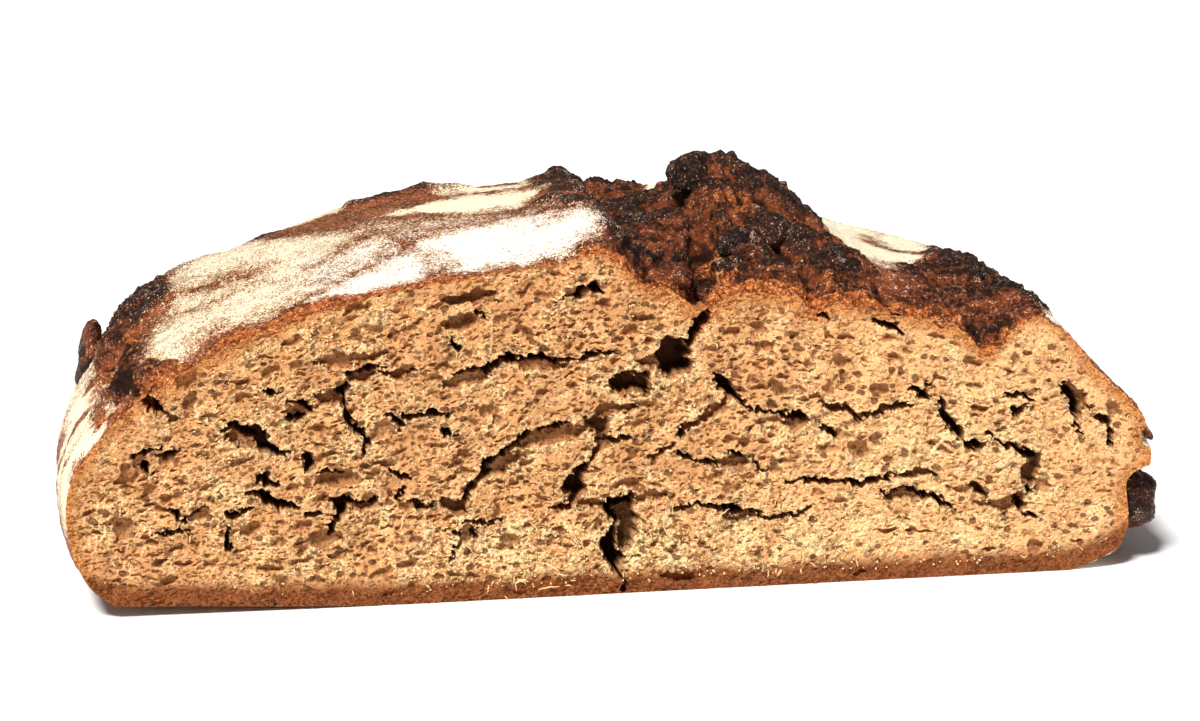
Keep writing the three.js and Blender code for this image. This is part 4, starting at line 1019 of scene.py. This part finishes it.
def crumb_finish():
    """Rye crumb: a sandy tan with cream grains, partly painted highlights, and painted light makes it paler
    towards the right; painted shade makes it browner in the bubbles and dark in the pores and tears; with
    an orange-brown band along under the crust that deepens to brown at the base."""
    look = Look("rye_crumb")
    sunk, shaggy, painted_light_right = look.field("sunk"), look.field("shaggy"), look.field("painted_light_right")
    clumps = look.noise(150.0, 3.0, 0.6)
    mottle = look.noise(230.0, 4.0, 0.6)
    grain = look.noise(1500.0, 4.0, 0.75)
    glints = look.noise(2600.0, 2.0, 0.6)
    sway = look.add("ShaderNodeTexNoise", None, {"Vector": look.place(), "Scale": 500.0}, output=1)
    bent = look.add("ShaderNodeVectorMath", {"operation": "MULTIPLY_ADD"},
                    {0: sway, 1: (0.0012, 0.0012, 0.0012), 2: look.place()})
    fine, fine_tone = look.cells(bent, 800.0)
    fine_pits = look.step(fine - 0.45 * fine_tone, 0.16, 0.0)
    on_cut = look.add("ShaderNodeVectorMath", {"operation": "MULTIPLY"},
                      {0: bent, 1: (370.0, 0.0, 500.0)})
    pore, pore_tone = look.cells(on_cut, 1.0)
    pores = look.step(pore - 0.42 * pore_tone - 0.3 * (look.noise(60.0) - 0.5), 0.07, -0.05)
    # Painted light: towards the right the tan is painted paler, with fewer dark grains and pits.
    tan = look.mix(look.step(mottle + 0.25 * (painted_light_right - 0.5), 0.32, 0.68), *TAN)
    bran = look.step(grain + 0.3 * (mottle - 0.5) + 0.03 * painted_light_right, 0.46, 0.36)
    tan = look.mix(bran * 0.55, tan, BRAN)
    # Pale cream grains in clusters: partly paler crumb, partly painted highlights on the crumb's walls.
    pale = look.step(grain + 0.1 * shaggy + 0.5 * (clumps - 0.5) + 0.35 * (glints - 0.5) - 0.03 * painted_light_right,
                     0.55, 0.66)
    tan = look.mix(pale * 0.95, tan, PALE_GRAINS_AND_GLINTS)
    # Painted shade: the small pits and the pores are painted dark brown.
    tan = look.mix(fine_pits * (0.68 - 0.25 * painted_light_right), tan, FINE_PIT_SHADE)
    tan = look.mix(pores * 0.85, tan, PORE_SHADE)
    # Painted highlight: the raised lips round the tears are painted pale cream, where they catch the light.
    tan = look.mix(look.field("lip") * look.step(grain, 0.42, 0.6) * 0.55, tan, LIP_HIGHLIGHT)
    # Painted shade: the deeper the crumb lies in a bubble or a tear, the browner it is painted, and dark
    # brown in the tears.
    tan = look.mix(look.step(sunk + 0.06 * (grain - 0.5), 0.05, 0.18) * 0.68, tan, BUBBLE_SHADE)
    tan = look.mix(look.step(sunk + 0.2 * (grain - 0.5), 0.3, 1.0) * 0.88, tan, TEAR_SHADE)
    baked = look.mix(look.step(grain + 0.5 * (glints - 0.5), 0.35, 0.65), *BAKED)
    band = look.step(look.field("bake") + 0.6 * (mottle - 0.5) + 0.5 * (grain - 0.5), 0.25, 1.0)
    colour = look.mix(band * 0.85, tan, baked)
    dark_foot = look.mix(look.step(grain, 0.35, 0.7), *BAKED_FOOT)
    low_band = look.step(look.field("foot_bake") + 0.5 * (mottle - 0.5) + 0.4 * (grain - 0.5), 0.1, 0.7)
    colour = look.mix(low_band * 0.94, colour, dark_foot)
    height = grain + 0.5 * glints - 0.9 * fine_pits - 1.3 * pores
    return look.finish({"Base Color": colour, "Roughness": 0.85, "Specular IOR Level": 0.2,
                        "Normal": look.bump(0.8, 0.0006, height)})


# Places along the cut, and how far the orange bake goes in from the crust there.
BAKED_AT = (-140, -128, -112, -100, -84, -70, -20, 2, 14, 40, 70, 96, 112, 122, 140)
BAKED_IN = (3.5, 3.5, 4.5, 3.8, 2.8, 0.7, 0.7, 2.6, 5.0, 5.2, 3.6, 2.8, 2.2, 4.2, 4.4)
under_crust = bell(crust_distance, 0.0, np.interp(face_x, BAKED_AT, BAKED_IN))
left_corner = bell(face_x, -117, 6.5) * bell(face_z, 58, 6.0)
# Painted light: a field that grows from the middle to the right end, where the crumb is painted paler.
add_strips("crumb", CRUMB_PIECES, face_points, crumb_finish(), {
    "sunk": sunk / 6.0, "shaggy": shaggy, "lip": lip, "painted_light_right": ramp(face_x, 10.0, 70.0),
    "bake": np.maximum(under_crust, left_corner) * ramp(face_z, 2.0, 14.0),
    "foot_bake": bell(rim_distance, 0.0, 6.0) * (1.0 - ramp(face_z, 6.0, 16.0)),
})

# ---------------------------------------------------------------- shreds and crumbs on the cut
# Pale shreds that the knife rolled up and left sticking to the cut, most of them low in the middle,
# and single grains of crumb between them.

SHREDS = 260
SHRED_RINGS = 8
GRAINS = 1400
# The longer shreds: both ends along the cut and up, the bow to the left of that way, the thickness.
LONG_SHREDS = (
    (-21.5, 9.8, -15, 5.2, 0.8, 0.5), (-18, 9.6, -19.2, 7.4, 0.2, 0.4), (-17.6, 7, -13.6, 5.8, -0.4, 0.4),
    (-27.6, 4.4, -24, 4.6, 0.5, 0.9), (-27, 5.6, -24.6, 3.8, 0.3, 0.6), (-21.6, 2.3, -15.8, 2.8, 0.3, 0.4),
    (-14.6, 3.1, -12.8, 2.7, 0.2, 0.4), (-30.2, 1.2, -29.2, -0.4, 0.1, 0.5),
    (-24, 20.5, -21.2, 16, 0.7, 0.45), (-13, 18.8, -10.8, 14.2, -0.5, 0.5), (-11.4, 15, -9.6, 10.8, 0.6, 0.5),
    (-8.4, 14.4, -5, 10.6, 0.5, 0.4), (-26, 11.6, -23.6, 13.4, 0.3, 0.5), (9, 24.2, 9.4, 20.2, -0.5, 0.4),
    (12.4, 24.4, 13, 21.2, 0.4, 0.4), (10.8, 18.4, 13.6, 14.2, -0.8, 0.45), (6.8, 17.4, 7.4, 12.8, 0.5, 0.4),
    (28, 21.4, 24.6, 17.6, -0.6, 0.5), (-56, 24, -56.4, 20.4, 0.2, 0.8), (-41, 15.6, -38, 12.4, 0.5, 0.4),
    (62, 23, 58, 19.5, 0.6, 0.5), (57, 15, 53.4, 12, 0.5, 0.8), (48, 24, 50.5, 21.4, 0.3, 0.4),
)

draw = np.random.default_rng(1907)
flat_points = face_points.reshape(-1, 3)
# Where they stick: low in the middle, on shaggy crumb and on lips, but in no hole and at no rim.
likely = (0.1 + bell(face_x, -20, 22.0) * bell(face_z, 15, 8.0)
          + 0.7 * bell(face_x, 40, 38.0) * bell(face_z, 17, 6.0) + 0.3 * shaggy + 0.6 * lip)
likely = (likely * (sunk < 0.25) * (rim_distance > 3.0)).ravel()
home = draw.choice(len(likely), SHREDS, p=likely / likely.sum())
turn = draw.normal(-1.25, 0.55, SHREDS)
reach = draw.uniform(0.5, 1.2, SHREDS)
start = flat_points[home] - np.stack((np.cos(turn), 0.25 + 0 * turn, np.sin(turn)), axis=-1) * reach[:, None]
end = flat_points[home] + np.stack((np.cos(turn), -0.3 + 0 * turn, np.sin(turn)), axis=-1) * reach[:, None]
bow = draw.normal(0.0, 0.3, SHREDS) * reach
thick = draw.uniform(0.34, 0.7, SHREDS)
named = np.array(LONG_SHREDS)
start = np.concatenate((start, np.stack((named[:, 0], -0.9 + 0 * named[:, 0], named[:, 1]), axis=-1)))
end = np.concatenate((end, np.stack((named[:, 2], -0.7 + 0 * named[:, 0], named[:, 3]), axis=-1)))
bow = np.concatenate((bow, named[:, 4]))
thick = np.concatenate((thick, named[:, 5] * 1.1))

# A shred runs from start to end by s, bowed sideways by bow * 4 s (1 - s) with a small wriggle. It
# is a three-sided tube, thick * (0.25 + 0.75 sin(pi s)) across.
s = np.linspace(0.0, 1.0, SHRED_RINGS)[None, :, None]
way = end - start
side = np.stack((-way[:, 2], 0 * way[:, 0], way[:, 0]), axis=-1)
side /= np.maximum(np.linalg.norm(side, axis=-1, keepdims=True), 1e-6)
wriggle = 0.25 * thick[:, None, None] * np.sin(17.0 * s + 40.0 * thick[:, None, None])
spine = (start[:, None] + s * way[:, None]
         + side[:, None] * (4 * s * (1 - s) * bow[:, None, None] + wriggle))
tube = 0.5 * thick[:, None, None] * (0.25 + 0.75 * np.sin(np.pi * s))
turns = np.arange(3) * 2 * np.pi / 3
ring = (spine[:, :, None] + tube[..., None] * (
    np.cos(turns)[None, None, :, None] * side[:, None, None]
    + np.sin(turns)[None, None, :, None] * np.array((0.0, -1.0, 0.0))))
index = np.arange(len(ring) * SHRED_RINGS * 3).reshape(len(ring), SHRED_RINGS, 3)
after = np.roll(index, -1, axis=2)
shred_faces = np.concatenate((
    np.stack((index[:, :-1], after[:, :-1], after[:, 1:]), axis=-1).reshape(-1, 3),
    np.stack((index[:, :-1], after[:, 1:], index[:, 1:]), axis=-1).reshape(-1, 3),
    index[:, 0, ::-1], index[:, -1]))


def shred_finish():
    """Dry, pale crumb, a little yellower in places."""
    look = Look("pale_shreds")
    tone = look.mix(look.noise(900.0, 3.0, 0.6), shade(230, 180, 116), shade(255, 228, 168))
    return look.finish({"Base Color": tone, "Roughness": 0.9, "Specular IOR Level": 0.2})


shred_look = shred_finish()
add_piece("crumb_shreds", ring, shred_faces, shred_look)
grain_ball, grain_sides = ball(4, 6)
home = draw.choice(len(likely), GRAINS, p=likely / likely.sum())
grain_size = draw.uniform(0.12, 0.36, (GRAINS, 1, 3))
uneven = draw.normal(size=(GRAINS, len(grain_ball), 1)).clip(-1, 1)
grain_points = (grain_ball[None] * grain_size * (1 + 0.35 * uneven)
                + flat_points[home][:, None] - np.array((0.0, 0.12, 0.0)))
grain_faces = (grain_sides[None] + np.arange(GRAINS)[:, None, None] * len(grain_ball)).reshape(-1, 3)
add_piece("crumb_grains", grain_points, grain_faces, shred_look)

# ---------------------------------------------------------------- the underside
# The flat sole that lay on the oven's stone: dull brown, dusted with flour, and slightly dimpled.
# Its edge meets the crust's base rim and the foot of the cut.

SOLE_STEP = 4
sole_front = np.zeros((CRUST_COLUMNS // SOLE_STEP + 1, 3))
sole_front[:, 0] = np.linspace(foot[0, 0], foot[-1, 0], len(sole_front))
sole_front[:, 2] = np.interp(sole_front[:, 0], foot[:, 0], foot[:, 2])
sole = four_sided(sole_front, crust_points[-1, ::SOLE_STEP],
                  crust_points[::SOLE_STEP, 0], crust_points[::SOLE_STEP, -1])
sole_outline = np.concatenate((sole_front, crust_points[::SOLE_STEP, -1][1:],
                               crust_points[-1, ::-SOLE_STEP][1:], crust_points[::-SOLE_STEP, 0][1:-1]))
sole_rim = np.maximum(inside_outline(sole[..., 0], sole[..., 1], sole_outline[:, :2]), 0.0)
dimples = 0.35 * (1.0 + rough_hills(sole, 9.0, 301, 3)) * ramp(sole_rim, 0.0, 6.0)
sole[..., 2] = sole[..., 2] * (1.0 - ramp(sole_rim, 0.0, 24.0)) + np.maximum(dimples, 0.0)


def sole_finish():
    """Stone-baked underside: brown with darker scorched patches and a thin dusting of flour."""
    look = Look("baked_sole")
    patches = look.noise(45.0, 4.0, 0.6)
    dust = look.step(look.noise(420.0, 4.0, 0.7) + 0.5 * patches, 0.72, 0.95)
    brown = look.mix(look.step(patches, 0.35, 0.65), shade(150, 92, 52), shade(92, 52, 28))
    return look.finish({"Base Color": look.mix(dust * 0.8, brown, shade(232, 214, 182)),
                        "Roughness": 0.85, "Normal": look.bump(0.4, 0.0006, look.noise(600.0, 4.0, 0.6))})


add_piece("underside", sole, grid_quads(*sole.shape[:2])[:, ::-1], sole_finish(),
          flat=flat_map(*sole.shape[:2]))

# ---------------------------------------------------------------- the table, the light, the camera
# A plain white table that runs out to the horizon, under bright light from a high window to the left
# of the camera.

FLOOR_REACH = 3.0                 # metres from its middle to each edge


def floor_finish():
    """Matt white paint with the faintest unevenness."""
    look = Look("white_table")
    tone = look.mix(look.noise(2.0), (0.92, 0.92, 0.92), (0.94, 0.94, 0.94))
    return look.finish({"Base Color": tone, "Roughness": 0.9})


floor_corners = [(across * FLOOR_REACH, away * FLOOR_REACH, 0)
                 for across, away in ((-1, -1), (1, -1), (1, 1), (-1, 1))]
floor_mesh = bpy.data.meshes.new("table_top")
floor_mesh.from_pydata(floor_corners, [], [(0, 1, 2, 3)])
floor_mesh.materials.append(floor_finish())
table_top = bpy.data.objects.new("table_top", floor_mesh)
bpy.context.scene.collection.objects.link(table_top)

ROOM_LIGHT = 0.2
world = bpy.data.worlds.new("soft_room")
bpy.context.scene.world = world
world.use_nodes = True
room = world.node_tree.nodes["Background"].inputs
room["Color"].default_value = (1.0, 1.0, 1.0, 1.0)
room["Strength"].default_value = ROOM_LIGHT

WINDOW_TOWARDS = (-0.33, -0.47, 0.82)   # from the loaf to the middle of the high window
WINDOW_LIGHT = 4.8
WINDOW_WIDTH = 14.0               # degrees across, seen from the loaf
window_light = bpy.data.lights.new("high_window", "SUN")
window_light.energy = WINDOW_LIGHT
window_light.angle = np.radians(WINDOW_WIDTH)
high_window = bpy.data.objects.new("high_window", window_light)
bpy.context.scene.collection.objects.link(high_window)
high_window.rotation_euler = Vector(WINDOW_TOWARDS).to_track_quat("Z", "Y").to_euler()

CAMERA_PLACE = (-0.16398, -1.00026, 0.29141)
CAMERA_YAW = 9.745                # degrees to the right
CAMERA_DIP = 14.0                 # degrees down
LENS = 3.1478                     # focal length against the width of the sensor
SENSOR = 36.0
camera = bpy.data.cameras.new("photo_camera")
camera.sensor_width = SENSOR
camera.lens = LENS * SENSOR
camera.clip_start = 0.05
camera_holder = bpy.data.objects.new("photo_camera", camera)
bpy.context.scene.collection.objects.link(camera_holder)
camera_holder.location = CAMERA_PLACE
camera_holder.rotation_euler = (np.radians(90.0 - CAMERA_DIP), 0.0, -np.radians(CAMERA_YAW))
bpy.context.scene.camera = camera_holder
bpy.context.scene.view_settings.view_transform = "Standard"
